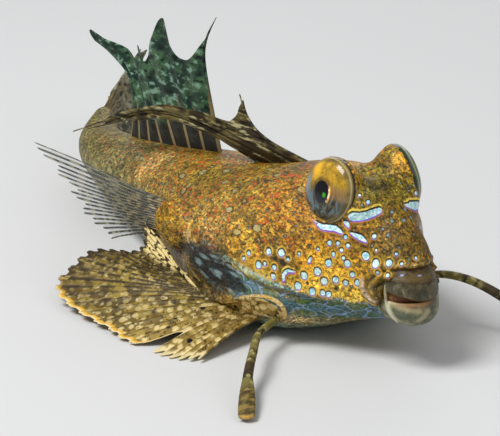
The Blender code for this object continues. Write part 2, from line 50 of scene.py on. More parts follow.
# All shapes are worked out in millimetres from the tip of the open mouth, head along +X,
# the fish's left along +Y, and go to the frame's place and metres at the end.
headLow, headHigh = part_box("head")
snoutStation = 1.54
originShift = np.array([headHigh.x * 1000 + snoutStation, (headHigh.y + headLow.y) * 500, 0.0])


def toMetres(points):
    return (np.asarray(points, float) + originShift) / 1000


def toFish(points):
    return np.asarray(points, float) * 1000 - originShift


def linkedObject(name, data):
    made = bpy.data.objects.new(name, data)
    scene.collection.objects.link(made)
    return made


def bakedMesh(holder):
    # the mesh of an object with its modifiers or curve applied; the object goes
    bpy.context.view_layer.update()
    graph = bpy.context.evaluated_depsgraph_get()
    made = bpy.data.meshes.new_from_object(holder.evaluated_get(graph))
    bpy.data.objects.remove(holder)
    return made


def turnedTo(centre, direction):
    return Matrix.Translation(centre) @ direction.to_track_quat("Z", "Y").to_matrix().to_4x4()


# Camera
view = dict(turn=59.0, lift=17.5, lensPixels=2224.0, distance=402.0, aim=(-53.5, 0.0, 11.4),
            photoWidth=500, photoHeight=436, sensor=36.0)
turn, lift = math.radians(view["turn"]), math.radians(view["lift"])
viewBack = Vector((math.sin(turn) * math.cos(lift), -math.cos(turn) * math.cos(lift), math.sin(lift)))
viewRight = Vector((0, 0, 1)).cross(viewBack).normalized()
viewUp = viewBack.cross(viewRight)
viewFrom = Vector(toMetres(view["aim"])) + viewBack * view["distance"] / 1000
cameraData = bpy.data.cameras.new("camera")
cameraData.sensor_width = view["sensor"]
cameraData.lens = view["lensPixels"] / view["photoWidth"] * view["sensor"]
cameraData.clip_start = 0.01
camera = linkedObject("camera", cameraData)
camera.matrix_world = turnedTo(viewFrom, viewBack)
scene.camera = camera


def sightLine(px, py):
    # the direction from the camera through a place in the photo
    across = (px - view["photoWidth"] / 2) / view["lensPixels"]
    down = (py - view["photoHeight"] / 2) / view["lensPixels"]
    return (-viewBack + viewRight * across - viewUp * down).normalized()


print("camera placed")


# Smooth curves and sheets
def smoothTable(table, at, column):
    # a curve through the rows of a table that never overshoots them
    rows = np.array([(row[0], row[column]) for row in table], float)
    x, y = rows[:, 0], rows[:, 1]
    slope = np.diff(y) / np.diff(x)
    tangent = np.zeros(len(x))
    for i in range(1, len(x) - 1):
        if slope[i - 1] * slope[i] > 0:
            tangent[i] = 2 * slope[i - 1] * slope[i] / (slope[i - 1] + slope[i])
    at = np.clip(at, x[0], x[-1])
    k = np.clip(np.searchsorted(x, at, side="right") - 1, 0, len(x) - 2)
    span = x[k + 1] - x[k]
    t = (at - x[k]) / span
    return (y[k] * (1 + 2 * t) * (1 - t) ** 2 + tangent[k] * span * t * (1 - t) ** 2
            + y[k + 1] * t * t * (3 - 2 * t) + tangent[k + 1] * span * t * t * (t - 1))


curveOverrun = 1.15  # a place may lie this far along a curve, past its end


def along(points, t):
    # a place at a share t of the smooth curve through points, for one curve or a curve for each t
    points, t = np.asarray(points, float), np.asarray(t, float)
    count, last = len(points), len(points) - 1
    if points.ndim == 2:
        points = np.broadcast_to(points.reshape(count, *([1] * t.ndim), 3), (count, *t.shape, 3))
    spot = np.clip(t, 0, curveOverrun) * last
    k = np.minimum(spot.astype(int), last - 1)
    f = (spot - k)[..., None]

    def pick(i):
        return np.take_along_axis(points, np.clip(i, 0, last)[None, ..., None], axis=0)[0]

    a, b = pick(k), pick(k + 1)
    before = np.where((k > 0)[..., None], pick(k - 1), 2 * a - b)
    after = np.where((k + 2 <= last)[..., None], pick(k + 2), 2 * b - a)
    return (a * (2 * f**3 - 3 * f**2 + 1) + (b - before) * 0.5 * (f**3 - 2 * f**2 + f)
            + b * (3 * f**2 - 2 * f**3) + (after - a) * 0.5 * (f**3 - f**2))


def fanPlace(guides, u, t):
    # u runs across the guide curves and t along them
    return along(np.stack([along(guide, t) for guide in guides]), u)


def readPlaces(mesh):
    flat = np.empty(len(mesh.vertices) * 3)
    mesh.vertices.foreach_get("co", flat)
    return flat.reshape(-1, 3)


def readNormals(mesh):
    flat = np.empty(len(mesh.vertices) * 3)
    mesh.vertex_normals.foreach_get("vector", flat)
    return flat.reshape(-1, 3)


def sightTree(mesh):
    # for finding where a line of sight meets a mesh whose places are still in millimetres
    places = [Vector(place) for place in toMetres(readPlaces(mesh))]
    return BVHTree.FromPolygons(places, [face.vertices[:] for face in mesh.polygons])


def writePlaces(mesh, places):
    mesh.vertices.foreach_set("co", np.ascontiguousarray(places, float).ravel())
    mesh.update()


def writeNumber(mesh, name, values):
    attribute = mesh.attributes.new(name, "FLOAT", "POINT")
    attribute.data.foreach_set("value", np.asarray(values, np.float32))


def writeVector(mesh, name, values):
    attribute = mesh.attributes.new(name, "FLOAT_VECTOR", "POINT")
    attribute.data.foreach_set("vector", np.ascontiguousarray(values, np.float32).ravel())


def meshFrom(bm, name):
    mesh = bpy.data.meshes.new(name)
    bm.to_mesh(mesh)
    bm.free()
    return mesh


def addPiece(name, mesh, material, replaced=()):
    piece = linkedObject(name, mesh)
    mesh.materials.clear()
    mesh.materials.append(material)
    mesh.shade_smooth()
    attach(piece, "root")
    if replaced:
        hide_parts(*replaced)
    return piece


def finished(mesh, *modifiers):
    # the mesh with modifiers applied, each given as its kind and settings
    holder = linkedObject("holder", mesh)
    for kind, settings in modifiers:
        modifier = holder.modifiers.new(kind, kind)
        for key, value in settings.items():
            setattr(modifier, key, value)
    made = bakedMesh(holder)
    bpy.data.meshes.remove(mesh)
    return made


def tubeMesh(points, radii, sides=4):
    # a tapered rod through millimetre points
    curve = bpy.data.curves.new("rod", "CURVE")
    curve.dimensions = "3D"
    curve.bevel_depth = 1.0
    curve.bevel_resolution = sides
    curve.use_fill_caps = True
    spline = curve.splines.new("POLY")
    spline.points.add(len(points) - 1)
    for knot, point, radius in zip(spline.points, points, radii):
        knot.co = (*point, 1.0)
        knot.radius = radius
    made = bakedMesh(linkedObject("rod", curve))
    bpy.data.curves.remove(curve)
    return made


def joinedMesh(name, meshes):
    bm = bmesh.new()
    for mesh in meshes:
        bm.from_mesh(mesh)
    return meshFrom(bm, name)


def smoothed(bm, verts, rounds):
    for _ in range(rounds):
        bmesh.ops.smooth_vert(bm, verts=verts, factor=0.5, use_axis_x=True, use_axis_y=True,
                              use_axis_z=True)


def remeshed(bm, voxel, smoothings=2):
    # one even skin over closed shapes that overlap
    mesh = finished(meshFrom(bm, "rough"), ("REMESH", dict(mode="VOXEL", voxel_size=voxel)))
    bm = bmesh.new()
    bm.from_mesh(mesh)
    smoothed(bm, bm.verts, smoothings)
    return bm


# Materials
def addNode(tree, kind, inputs=None, **settings):
    node = tree.nodes.new("ShaderNode" + kind)
    for key, value in settings.items():
        setattr(node, key, value)
    for key, value in (inputs or {}).items():
        if isinstance(value, bpy.types.NodeSocket):
            tree.links.new(value, node.inputs[key])
        elif node.inputs[key].type == "RGBA" and len(value) == 3:
            node.inputs[key].default_value = (*value, 1.0)
        else:
            node.inputs[key].default_value = value
    return node


class Paint:
    # short names for the nodes of one material, with its coordinates in millimetres
    def __init__(self, name, roughness=0.4, coat=0.0, sheen=0.25):
        self.material = bpy.data.materials.new(name)
        self.material.use_nodes = True
        self.tree = self.material.node_tree
        self.shader = self.tree.nodes["Principled BSDF"]
        self.shader.inputs["Roughness"].default_value = roughness
        self.shader.inputs["Coat Weight"].default_value = coat
        self.shader.inputs["Coat Roughness"].default_value = 0.15
        self.shader.inputs["Specular IOR Level"].default_value = sheen
        place = self.node("TexCoord").outputs["Object"]
        self.place = self.node("VectorMath", {0: place, "Scale": 1000.0}, operation="SCALE").outputs[0]

    def node(self, kind, inputs=None, **settings):
        return addNode(self.tree, kind, inputs, **settings)

    def parts(self, name):
        # the three numbers of a vector attribute
        return self.node("SeparateXYZ", {0: self.attribute(name, "Vector")}).outputs

    def flat(self, a, b=0.0):
        # two values as a place to read a texture at
        return self.node("CombineXYZ", {0: a, 1: b}).outputs[0]

    def math(self, operation, a, b=0.5, c=0.5):
        return self.node("Math", {0: a, 1: b, 2: c}, operation=operation).outputs[0]

    def attribute(self, name, output="Fac"):
        return self.node("Attribute", attribute_name=name).outputs[output]

    def stretched(self, scale, vector=None, turned=(0, 0, 0)):
        inputs = {"Vector": vector or self.place, "Scale": scale, "Rotation": turned}
        return self.node("Mapping", inputs).outputs[0]

    def noise(self, scale, vector=None, detail=3.0, roughness=0.55, distortion=0.0):
        inputs = {"Vector": vector or self.place, "Scale": scale, "Detail": detail,
                  "Roughness": roughness, "Distortion": distortion}
        return self.node("TexNoise", inputs).outputs[0]

    def cells(self, scale, vector=None, feature="F1", output="Distance"):
        inputs = {"Vector": vector or self.place, "Scale": scale, "Randomness": 1.0}
        return self.node("TexVoronoi", inputs, feature=feature).outputs[output]

    def band(self, value, low, high, start=0.0, end=1.0):
        inputs = {"Value": value, "From Min": low, "From Max": high, "To Min": start, "To Max": end}
        return self.node("MapRange", inputs, interpolation_type="SMOOTHSTEP").outputs[0]

    def mix(self, factor, a, b, blend="MIX"):
        node = self.node("Mix", data_type="RGBA", blend_type=blend)
        for slot, value in ((0, factor), (6, a), (7, b)):
            value = palette[value] if isinstance(value, str) else value
            if isinstance(value, bpy.types.NodeSocket):
                self.tree.links.new(value, node.inputs[slot])
            elif slot:
                node.inputs[slot].default_value = (*value, 1.0)
            else:
                node.inputs[slot].default_value = value
        return node.outputs[2]

    def lay(self, under, over, mask, strength=1.0):
        # one colour laid over another
        return self.mix(mask if strength == 1.0 else self.both(mask, strength), under, over)

    def fade(self, under, over, value, low, high, strength=1.0):
        # the same, where a value goes from low to high
        return self.lay(under, over, self.band(value, low, high), strength)

    def scaled(self, colour, amount):
        return self.node("VectorMath", {0: colour, "Scale": amount}, operation="SCALE").outputs[0]

    def both(self, a, b):
        return self.math("MULTIPLY", a, b)

    def add(self, a, b):
        return self.math("ADD", a, b)

    def put(self, colour=None, roughness=None, height=None, alpha=None, bump=0.1, strength=0.6):
        links, inputs = self.tree.links, self.shader.inputs
        if colour:
            links.new(colour, inputs["Base Color"])
        if roughness:
            links.new(roughness, inputs["Roughness"])
        if alpha:
            links.new(alpha, inputs["Alpha"])
        if height:
            made = self.node("Bump", {"Height": height, "Distance": bump / 1000, "Strength": strength})
            links.new(made.outputs[0], inputs["Normal"])
        return self.material


def toned(p, value, tone):
    return p.mix(1.0, value, tone, "MULTIPLY")


# The body's own sections, the same as the solids have apart from the snout
body = dict(
    bend=((-10, 0), (86, 0), (104, 6), (118, 18), (128, 31), (136, 42), (152, 46), (175, 46)),
    # station, top, bottom, half width, height of the widest line, upper and lower roundness
    sections=((1.5, 20.6, 10.0, 4.35, 16.8, 2.3, 2.0), (4.0, 22.6, 8.4, 4.5, 16.6, 2.1, 2.0),
              (6.0, 24.6, 7.4, 5.0, 15.8, 2.1, 2.1), (9.0, 27.4, 6.2, 6.8, 13.9, 2.4, 2.4),
              (13.0, 29.3, 5.0, 9.5, 13.2, 2.1, 2.7), (17.0, 29.9, 3.4, 11.9, 12.8, 1.9, 2.8),
              (21.0, 29.7, 1.7, 14.3, 12.5, 1.9, 2.9), (26.0, 28.9, 0.0, 16.8, 12.2, 1.9, 3.0),
              (33.0, 27.2, -0.4, 18.8, 11.8, 2.0, 3.0), (41.0, 24.9, -0.5, 19.2, 11.4, 2.0, 3.0),
              (50.0, 22.9, -0.5, 16.6, 11.0, 2.1, 2.9), (63.0, 21.3, -0.4, 13.7, 10.4, 2.1, 2.8),
              (78.0, 18.9, 0.0, 11.2, 9.8, 2.1, 2.6), (95.0, 16.3, 2.2, 8.7, 9.4, 2.1, 2.3),
              (110.0, 14.2, 4.0, 6.2, 9.1, 2.1, 2.1), (122.0, 13.0, 4.8, 4.6, 8.8, 2.1, 2.1),
              (133.0, 13.3, 4.6, 2.8, 8.9, 2.1, 2.1)),
    snout=1.0, noseRounding=3.4, noseHeight=17.8, end=134.0, voxel=0.44, rings=330, sides=140,
    # rings stand closer together towards the snout, and points nearer than merge become one
    crowding=1.15, merge=0.004,
    # closed lumps joined to the skin: centre and half sizes, one on each side
    lumps=(((-12.5, 5.0, 24.5), (2.6, 2.6, 2.6)), ((-10.5, 3.6, 25.6), (2.6, 2.6, 2.6)),
           ((-14.0, 4.4, 26.4), (3.4, 3.4, 2.6)), ((-6.4, 4.7, 13.4), (2.8, 1.5, 3.5)),
           ((-4.0, 4.2, 15.7), (1.6, 0.85, 1.9)), ((-4.6, 5.5, 12.9), (1.3, 1.15, 1.5)),
           ((-50.0, 16.8, 13.8), (7.0, 2.9, 4.8))),
    # the face and the throat have a finer mesh than the rest
    faceBack=-12.0, faceFoot=4.5, throatBack=-33.0, throatTop=11.0, throatFoot=1.0, throatSide=8.0)

# the midline, a step at a time from the snout to past the tail
trailStep = 0.1
trail = np.linspace(0, 180, 1801)
trailHeading = np.radians(smoothTable(body["bend"], trail, 1))
stepHeading = (trailHeading[1:] + trailHeading[:-1]) / 2
trailX = -np.concatenate([[0], np.cumsum(np.cos(stepHeading)) * trailStep])
trailY = np.concatenate([[0], np.cumsum(np.sin(stepHeading)) * trailStep])


def fishPlace(station, side, height):
    # a place beside the midline, which bends to the left towards the tail
    station = np.asarray(station, float)
    heading = np.interp(station, trail, trailHeading)
    ahead = np.minimum(station, 0)
    x = np.interp(station, trail, trailX) - ahead + side * np.sin(heading)
    y = np.interp(station, trail, trailY) + side * np.cos(heading)
    return np.stack(np.broadcast_arrays(x, y, np.asarray(height, float)), axis=-1)


def skinPlace(station, angle):
    section = [smoothTable(body["sections"], station, column) for column in range(1, 7)]
    top, bottom, width, middle, upper, lower = section
    across, over = np.cos(angle), np.sin(angle)
    power = np.where(over >= 0, 2 / upper, 2 / lower)
    reach = np.where(over >= 0, top - middle, middle - bottom)
    side = width * np.sign(across) * np.abs(across) ** power
    height = middle + reach * np.sign(over) * np.abs(over) ** power
    into = np.clip((station - body["snout"]) / body["noseRounding"], 0, 1)
    closing = np.sqrt(1 - (1 - into) ** 2)
    return fishPlace(station, side * closing,
                     body["noseHeight"] + (height - body["noseHeight"]) * closing)


# Eyes sit in two tall bulges of skin
eyes = dict(
    rim=(-15.95, 7.85, 27.55), leftRise=0.42, turn=80.0, lift=12.0, radius=5.5, dome=2.3, squareness=2.5,
    sink=1.1, bulge=5.65, bulgeSink=0.6, lid=0.3, pupilPixel=(321.2, 191.6), glintPixel=(323.8, 195.0),
    glowPixel=(318.0, 168.0), pupil=1.62, lidInset=0.25,
    crease=dict(inner=-0.6, outer=4.4, behind=2.0, rounds=30))


def eyeAxis(side):
    turn, lift = math.radians(eyes["turn"]), math.radians(eyes["lift"])
    return Vector((math.cos(turn) * math.cos(lift), side * math.sin(turn) * math.cos(lift),
                   math.sin(lift)))


def eyeCentre(side, sink=0.0):
    x, y, z = eyes["rim"]
    return Vector((x, side * y, z + (eyes["leftRise"] if side > 0 else 0))) - eyeAxis(side) * sink


# One skin over head, trunk and tail stalk
def roughBody():
    bm = bmesh.new()
    bmesh.ops.create_grid(bm, x_segments=body["rings"], y_segments=body["sides"], size=0.5)
    mesh = meshFrom(bm, "loft")
    flat = readPlaces(mesh)
    length = body["end"] - body["snout"]
    share = (flat[:, 0] + 0.5) ** body["crowding"]
    writePlaces(mesh, skinPlace(body["snout"] + share * length, (flat[:, 1] + 0.5) * 2 * math.pi))
    bm = bmesh.new()
    bm.from_mesh(mesh)
    bmesh.ops.remove_doubles(bm, verts=bm.verts, dist=body["merge"])
    bmesh.ops.holes_fill(bm, edges=[e for e in bm.edges if e.is_boundary], sides=0)
    for side in (1, -1):
        # a ball cut off flat behind the eye
        axis, rimCentre = eyeAxis(side), eyeCentre(side, eyes["sink"])
        place = turnedTo(eyeCentre(side, eyes["bulgeSink"]), axis)
        ball = bmesh.ops.create_uvsphere(bm, u_segments=48, v_segments=32, radius=eyes["bulge"],
                                         matrix=place)["verts"]
        parts = {part for v in ball for part in (v, *v.link_edges, *v.link_faces)}
        made = bmesh.ops.bisect_plane(bm, geom=list(parts), plane_co=rimCentre, plane_no=axis, dist=1e-5,
                                      clear_outer=True)["geom_cut"]
        bmesh.ops.holes_fill(bm, edges=[e for e in made if isinstance(e, bmesh.types.BMEdge)], sides=0)
        # a thin round lid spun about the eye's axis
        place = Matrix.Translation((eyes["bulge"] - eyes["lidInset"], 0, 0))
        place = place @ Matrix.Rotation(math.pi / 2, 4, "X")
        lid = bmesh.ops.create_circle(bm, segments=12, radius=eyes["lid"], cap_ends=False,
                                      matrix=place)["verts"]
        rim = list({e for v in lid for e in v.link_edges})
        bmesh.ops.spin(bm, geom=lid + rim, angle=2 * math.pi, steps=72, axis=(0, 0, 1), cent=(0, 0, 0),
                       use_merge=True)
        ring = [v for v in bm.verts if abs(v.co.z) < 1 and v.co.xy.length < 7]
        bmesh.ops.transform(bm, matrix=turnedTo(rimCentre, axis), verts=ring)
        for (x, y, z), sizes in body["lumps"]:
            place = Matrix.Translation((x, side * y, z)) @ Matrix.Diagonal((*sizes, 1.0))
            bmesh.ops.create_uvsphere(bm, u_segments=32, v_segments=20, radius=1.0, matrix=place)
    bmesh.ops.recalc_face_normals(bm, faces=bm.faces)
    return bm


def softenBulges(bm):
    # the crease where a bulge leaves the head is drawn smooth
    crease, near = eyes["crease"], set()
    for v in bm.verts:
        for side in (1, -1):
            away = (v.co - eyeCentre(side, eyes["bulgeSink"])).length
            ahead = (v.co - eyeCentre(side)).dot(eyeAxis(side))
            if crease["inner"] < away - eyes["bulge"] < crease["outer"] and ahead < -crease["behind"]:
                near.add(v)
    smoothed(bm, list(near), crease["rounds"])


def seenOn(tree, px, py):
    # the place on a surface that the photo shows at a pixel
    hit = tree.ray_cast(viewFrom, sightLine(px, py))[0]
    return None if hit is None else toFish(hit)


def mirroredSide(place):
    return place * np.array([1.0, -1.0, 1.0])


def seenPath(tree, pixels, steps=40):
    found = [seenOn(tree, px, py) for px, py in pixels]
    return along([p for p in found if p is not None], np.linspace(0, 1, steps))


def nearTo(places, path, reach, widths=0.0):
    # the distance to a path's edge, worked out only where it can be under reach, and reach elsewhere
    away = np.full(len(places), float(reach))
    inside = np.all((places > path.min(0) - reach) & (places < path.max(0) + reach), axis=1)
    if inside.any():
        apart = np.linalg.norm(places[inside][:, None] - path[None], axis=2) - widths
        away[inside] = np.minimum(reach, np.min(apart, axis=1))
    return away


# Folds and hollows: pixels along them, half width and height in mm
relief = dict(
    lines=((((370, 268), (384, 266.6), (400, 265.8), (414, 265), (427, 264)), 0.7, 0.35),
           (((365, 274.6), (378, 271), (396, 270.4), (412, 270), (427, 269)), 0.45, -0.5),
           (((379, 270.5), (368, 274), (361.4, 281), (362.6, 287.6), (365.6, 294), (369.4, 299),
             (376, 302), (383, 304)), 0.4, 0.5),
           (((384, 271), (376, 275), (370, 280), (366.4, 286), (368, 292), (372, 297), (379, 299.6)),
            0.32, -0.4),
           (((388, 277), (379, 279), (373, 284), (371, 289), (374, 295), (381, 297)), 0.32, 0.35),
           (((392, 283.6), (383, 283.6), (376, 286.4), (374.6, 290), (378, 295)), 0.35, -0.45),
           (((234, 262), (248, 274), (268, 283), (295, 290), (325, 297), (360, 303)), 0.6, 0.4),
           (((236, 268), (250, 280), (270, 288.6), (296, 295.4), (326, 302)), 0.5, -0.35),
           (((370, 188), (376, 189), (381, 187.5), (386, 184)), 0.3, -0.12),
           (((204, 293), (226, 298), (243, 295.4), (262, 295.6), (276, 300.4), (284, 308), (285.6, 318)),
            0.95, 1.1), (((214, 304), (236, 307), (256, 306), (270, 310)), 2.0, 0.5),
           (((212, 300), (238, 301.6), (258, 300.6), (271, 304), (278, 311)), 0.45, -0.6)),
    dabs=(((222, 264), 3.4, -0.7), ((300, 262), 7.0, 0.5), ((412, 188), 1.0, 0.3),
          ((367, 171), 2.0, -0.55), ((320, 236), 2.2, 0.25), ((380, 290), 1.6, -0.5)))


floorGap = 0.25  # the skin flattens below this height, and fins keep it


def shapeSkin(mesh):
    places, normals, tree = readPlaces(mesh), readNormals(mesh), sightTree(mesh)
    move = np.zeros(len(places))
    for pixels, width, height in relief["lines"]:
        path = seenPath(tree, pixels)
        for line in (path, mirroredSide(path)):
            move += height * np.exp(-(nearTo(places, line, 3 * width) / width) ** 2)
    for pixel, width, height in relief["dabs"]:
        centre = seenOn(tree, *pixel)
        for spot in (centre, mirroredSide(centre)):
            move += height * np.exp(-(np.linalg.norm(places - spot, axis=1) / width) ** 2)
    places = places + normals * move[:, None]
    height = places[:, 2]
    places[:, 2] = np.where(height < floorGap, floorGap * np.exp((height - floorGap) / floorGap), height)
    writePlaces(mesh, places)


roughSkin = remeshed(roughBody(), body["voxel"])
softenBulges(roughSkin)


def drawnFiner(v):
    x, y, z = v.co
    face = x > body["faceBack"] and z > body["faceFoot"]
    low = body["throatFoot"] < z < body["throatTop"]
    return face or (low and x > body["throatBack"] and abs(y) > body["throatSide"])


fine = [e for e in roughSkin.edges if all(drawnFiner(v) for v in e.verts)]
bmesh.ops.subdivide_edges(roughSkin, edges=fine, cuts=1, use_grid_fill=True, smooth=1.0)
skinMesh = meshFrom(roughSkin, "skin")
shapeSkin(skinMesh)
skinPlaces = readPlaces(skinMesh)
skinTree = sightTree(skinMesh)
print("skin shaped:", len(skinMesh.polygons), "faces")

# Markings: pixels, with sizes in mm
marks = dict(
    spots=((345.5, 237, 0.3), (348, 245.7, 0.34), (337.9, 243.2, 0.32), (329.4, 243, 0.38),
           (341.4, 250, 0.3), (333.4, 254.4, 0.34), (343.5, 258.2, 0.3), (347.4, 263.5, 0.5),
           (328.4, 263, 0.55), (317.5, 271.6, 0.62), (324.2, 281.3, 0.6), (335.7, 280, 0.5),
           (304.2, 275.7, 0.62), (297.9, 286, 0.6), (312.3, 291.6, 0.55), (322.7, 293, 0.45),
           (328.7, 294.4, 0.45), (299, 254, 0.28), (288, 259, 0.32), (281.4, 253, 0.62),
           (268.7, 251.6, 0.5), (274.3, 267.4, 0.42), (258.6, 265, 0.6), (265, 264, 0.35),
           (273.3, 276.5, 0.5), (248.6, 253, 0.4), (243.8, 258.6, 0.34), (352.3, 274.7, 0.4),
           (345.6, 283, 0.42), (357.5, 283, 0.5), (318, 249, 0.26), (365.8, 256, 0.64),
           (374.2, 236.3, 0.36), (376.3, 250.4, 0.2), (359.7, 195.2, 0.22), (368.4, 202, 0.3)),
    snoutSpots=((375.8, 263.7, 0.68), (388.8, 263, 0.54), (396.3, 253.9, 0.26), (416, 258, 0.26),
                (401.6, 263.7, 0.26), (377.7, 272.5, 0.3), (387.5, 275.3, 0.34), (402, 275, 0.34),
                (419, 275.6, 0.3)),
    # places along each bar with the half width in mm there; the plain ones have no yellow line above
    plainBars=(((309.4, 215.6, 0.05), (315.6, 222.0, 0.2), (322.4, 226.6, 0.46), (328.6, 227.6, 0.5),
                (334.4, 228.4, 0.48), (339.4, 230.8, 0.36), (343, 233.6, 0.08)),
               ((344.4, 222.6, 0.3), (347, 223.6, 0.42), (348.6, 226.6, 0.2)),
               ((350, 232.4, 0.08), (354.6, 235, 0.34), (360.6, 237.6, 0.46), (365.6, 241.2, 0.24))),
    bars=(((352.6, 217, 0.74), (360, 216.6, 0.74), (368, 214.6, 0.66), (374, 212.6, 0.6),
           (379.4, 210.4, 0.5)),
          ((283.4, 281, 0.24), (283.6, 275, 0.34), (288, 271, 0.3), (295.6, 272.2, 0.16)),
          ((309, 261.4, 0.3), (311, 257.6, 0.22))),
    finRoot=((202, 298, 0.5), (216, 304, 1.5), (238, 306, 2.2), (258, 306, 2.3), (272, 309, 2.0),
             (280, 314, 1.2)),
    farBar=((405.6, 205, 0.3), (411, 206.4, 0.42), (416, 208.4, 0.46), (420, 209.6, 0.4)),
    # painted strokes: pixels, half width in mm, colour, strength; the umber ones on the face lie along
    # the folds' grooves and in the pouch's hollow as painted shade
    strokes=((((361.6, 280), (362.6, 287.6), (365.6, 294), (369.4, 299), (376, 302)), 0.26, "paleViolet",
              1.0), (((361, 296), (366, 301), (373, 305), (383.4, 308)), 0.55, "yellow", 1.0),
             (((392, 283.6), (383, 283.4), (376, 286.4), (371, 288.6)), 0.26, "umber", 0.85),
             (((384, 271), (376, 275), (370, 280), (366.4, 286)), 0.26, "umber", 0.85),
             (((382, 274.6), (376, 277.6)), 0.24, "gold", 0.8),
             (((384, 267), (400, 266), (414, 265.2), (425, 265.4)), 0.36, "sand", 0.5),
             (((379, 271.4), (396, 270.6), (412, 270.2), (426, 269)), 0.26, "umber", 0.85),
             (((370, 188), (376, 189), (381, 187.5), (386, 184)), 0.18, "umber", 0.7),
             (((374, 289), (376, 294), (381, 299)), 0.8, "umber", 0.6),
             (((369, 284), (368, 289), (371, 294)), 0.6, "ochre", 0.6),
             (((371, 281.6), (368.8, 287), (371, 293), (376.6, 297.6)), 0.2, "sand", 0.7),
             (((366.4, 279), (364.6, 285), (366.8, 291), (371.4, 296)), 0.22, "umber", 0.6),
             (((380, 279.4), (387, 279), (394, 280)), 0.3, "umber", 0.6),
             (((235, 266), (247, 274), (262, 282), (274, 288), (288, 294)), 1.0, "yellow", 1.0),
             (((225, 258), (237, 265), (255, 275), (269, 282.6), (283, 287), (295, 291)), 0.36, "iceBlue",
              0.85),
             (((225, 270), (241, 280), (265, 292), (291, 304), (309, 310), (325, 306)), 0.4, "lilac",
              0.9),
             (((295, 293), (311, 297), (325, 302), (337, 300), (353, 305), (365, 309), (385, 312)), 0.36,
              "lilac", 0.9),
             (((313, 310), (329, 309), (345, 314), (361, 316), (385, 315)), 0.36, "lilac", 0.8),
             (((322, 291), (326, 295.6), (331, 292)), 0.26, "iceBlue", 0.8),
             (((236, 288), (252, 297), (268, 305)), 0.5, "lilac", 0.6),
             (((192, 243), (203, 256), (220, 272), (236, 284)), 0.24, "greyBlue", 0.85),
             (((204, 240), (214, 250), (230, 266), (246, 280)), 0.24, "greyBlue", 0.85),
             (((188, 252), (198, 266), (212, 282), (222, 290)), 0.24, "greyBlue", 0.8),
             (((186, 262), (196, 276), (208, 288)), 0.26, "sand", 0.7),
             (((214, 244), (228, 258), (240, 270)), 0.2, "greyBlue", 0.7)),
    calm=((373, 288, 3.2), (258, 277, 3.0), (246, 270, 2.4)),
    # a path through the painted shade below the gill cover: pixels and half widths in mm
    gill=((184, 246, 1.0), (198, 257, 2.2), (214, 269, 2.7), (229, 279, 2.2), (243, 289, 1.0)),
    curl=((232, 299, 0.05), (244, 296.4, 0.2), (262, 296, 0.28), (275, 300.4, 0.32), (283, 308, 0.34),
          (285, 318, 0.3)),
    # dull bluish spots with a dark ring
    dimSpots=((392, 212, 0.3), (392, 221, 0.3), (404, 220, 0.28), (388, 235, 0.28), (310, 229, 0.2),
              (312, 238, 0.22), (302, 233, 0.2), (309, 246, 0.22), (296, 226, 0.2), (320, 231, 0.18),
              (285, 236, 0.22), (290, 246, 0.2), (275, 239, 0.22), (372, 246, 0.2), (383, 229, 0.22),
              (362, 205, 0.2)),
    darkDots=((307.3, 283, 0.38), (336, 288.5, 0.34), (283, 262, 0.7), (276, 258, 0.4), (291, 268, 0.4)),
    throat=((240, 284), (270, 298), (300, 306), (345, 312), (380, 313)),
    # the dark and violet edges: how far up each is shifted, and how much wider it is
    spotEdges=(("core", 0, 0), ("over", 0.15, 0.14), ("under", -0.12, 0.02)),
    barEdges=(("core", 0.0), ("over", 0.26), ("under", -0.2), ("gold", 0.62)))

palette = dict(
    ochre=(0.40, 0.250, 0.022), olive=(0.17, 0.15, 0.010), brown=(0.17, 0.110, 0.012),
    umber=(0.032, 0.02, 0.008), gold=(0.80, 0.42, 0.025), orange=(0.66, 0.22, 0.012),
    yellow=(0.95, 0.68, 0.10), cream=(0.80, 0.68, 0.38), sand=(0.60, 0.44, 0.16),
    throatGreen=(0.060, 0.17, 0.050), lilac=(0.20, 0.38, 0.60), paleBlue=(0.85, 1.0, 0.92),
    iceBlue=(0.30, 0.70, 0.84), greyBlue=(0.22, 0.32, 0.34), violet=(0.20, 0.10, 0.62),
    black=(0.006, 0.006, 0.008), red=(0.56, 0.085, 0.010), greyGreen=(0.40, 0.45, 0.28),
    belly=(0.27, 0.42, 0.40), paleViolet=(0.95, 0.84, 0.86), shade=(0.022, 0.026, 0.024),
    slateBlue=(0.055, 0.17, 0.20), tailOlive=(0.115, 0.135, 0.040))

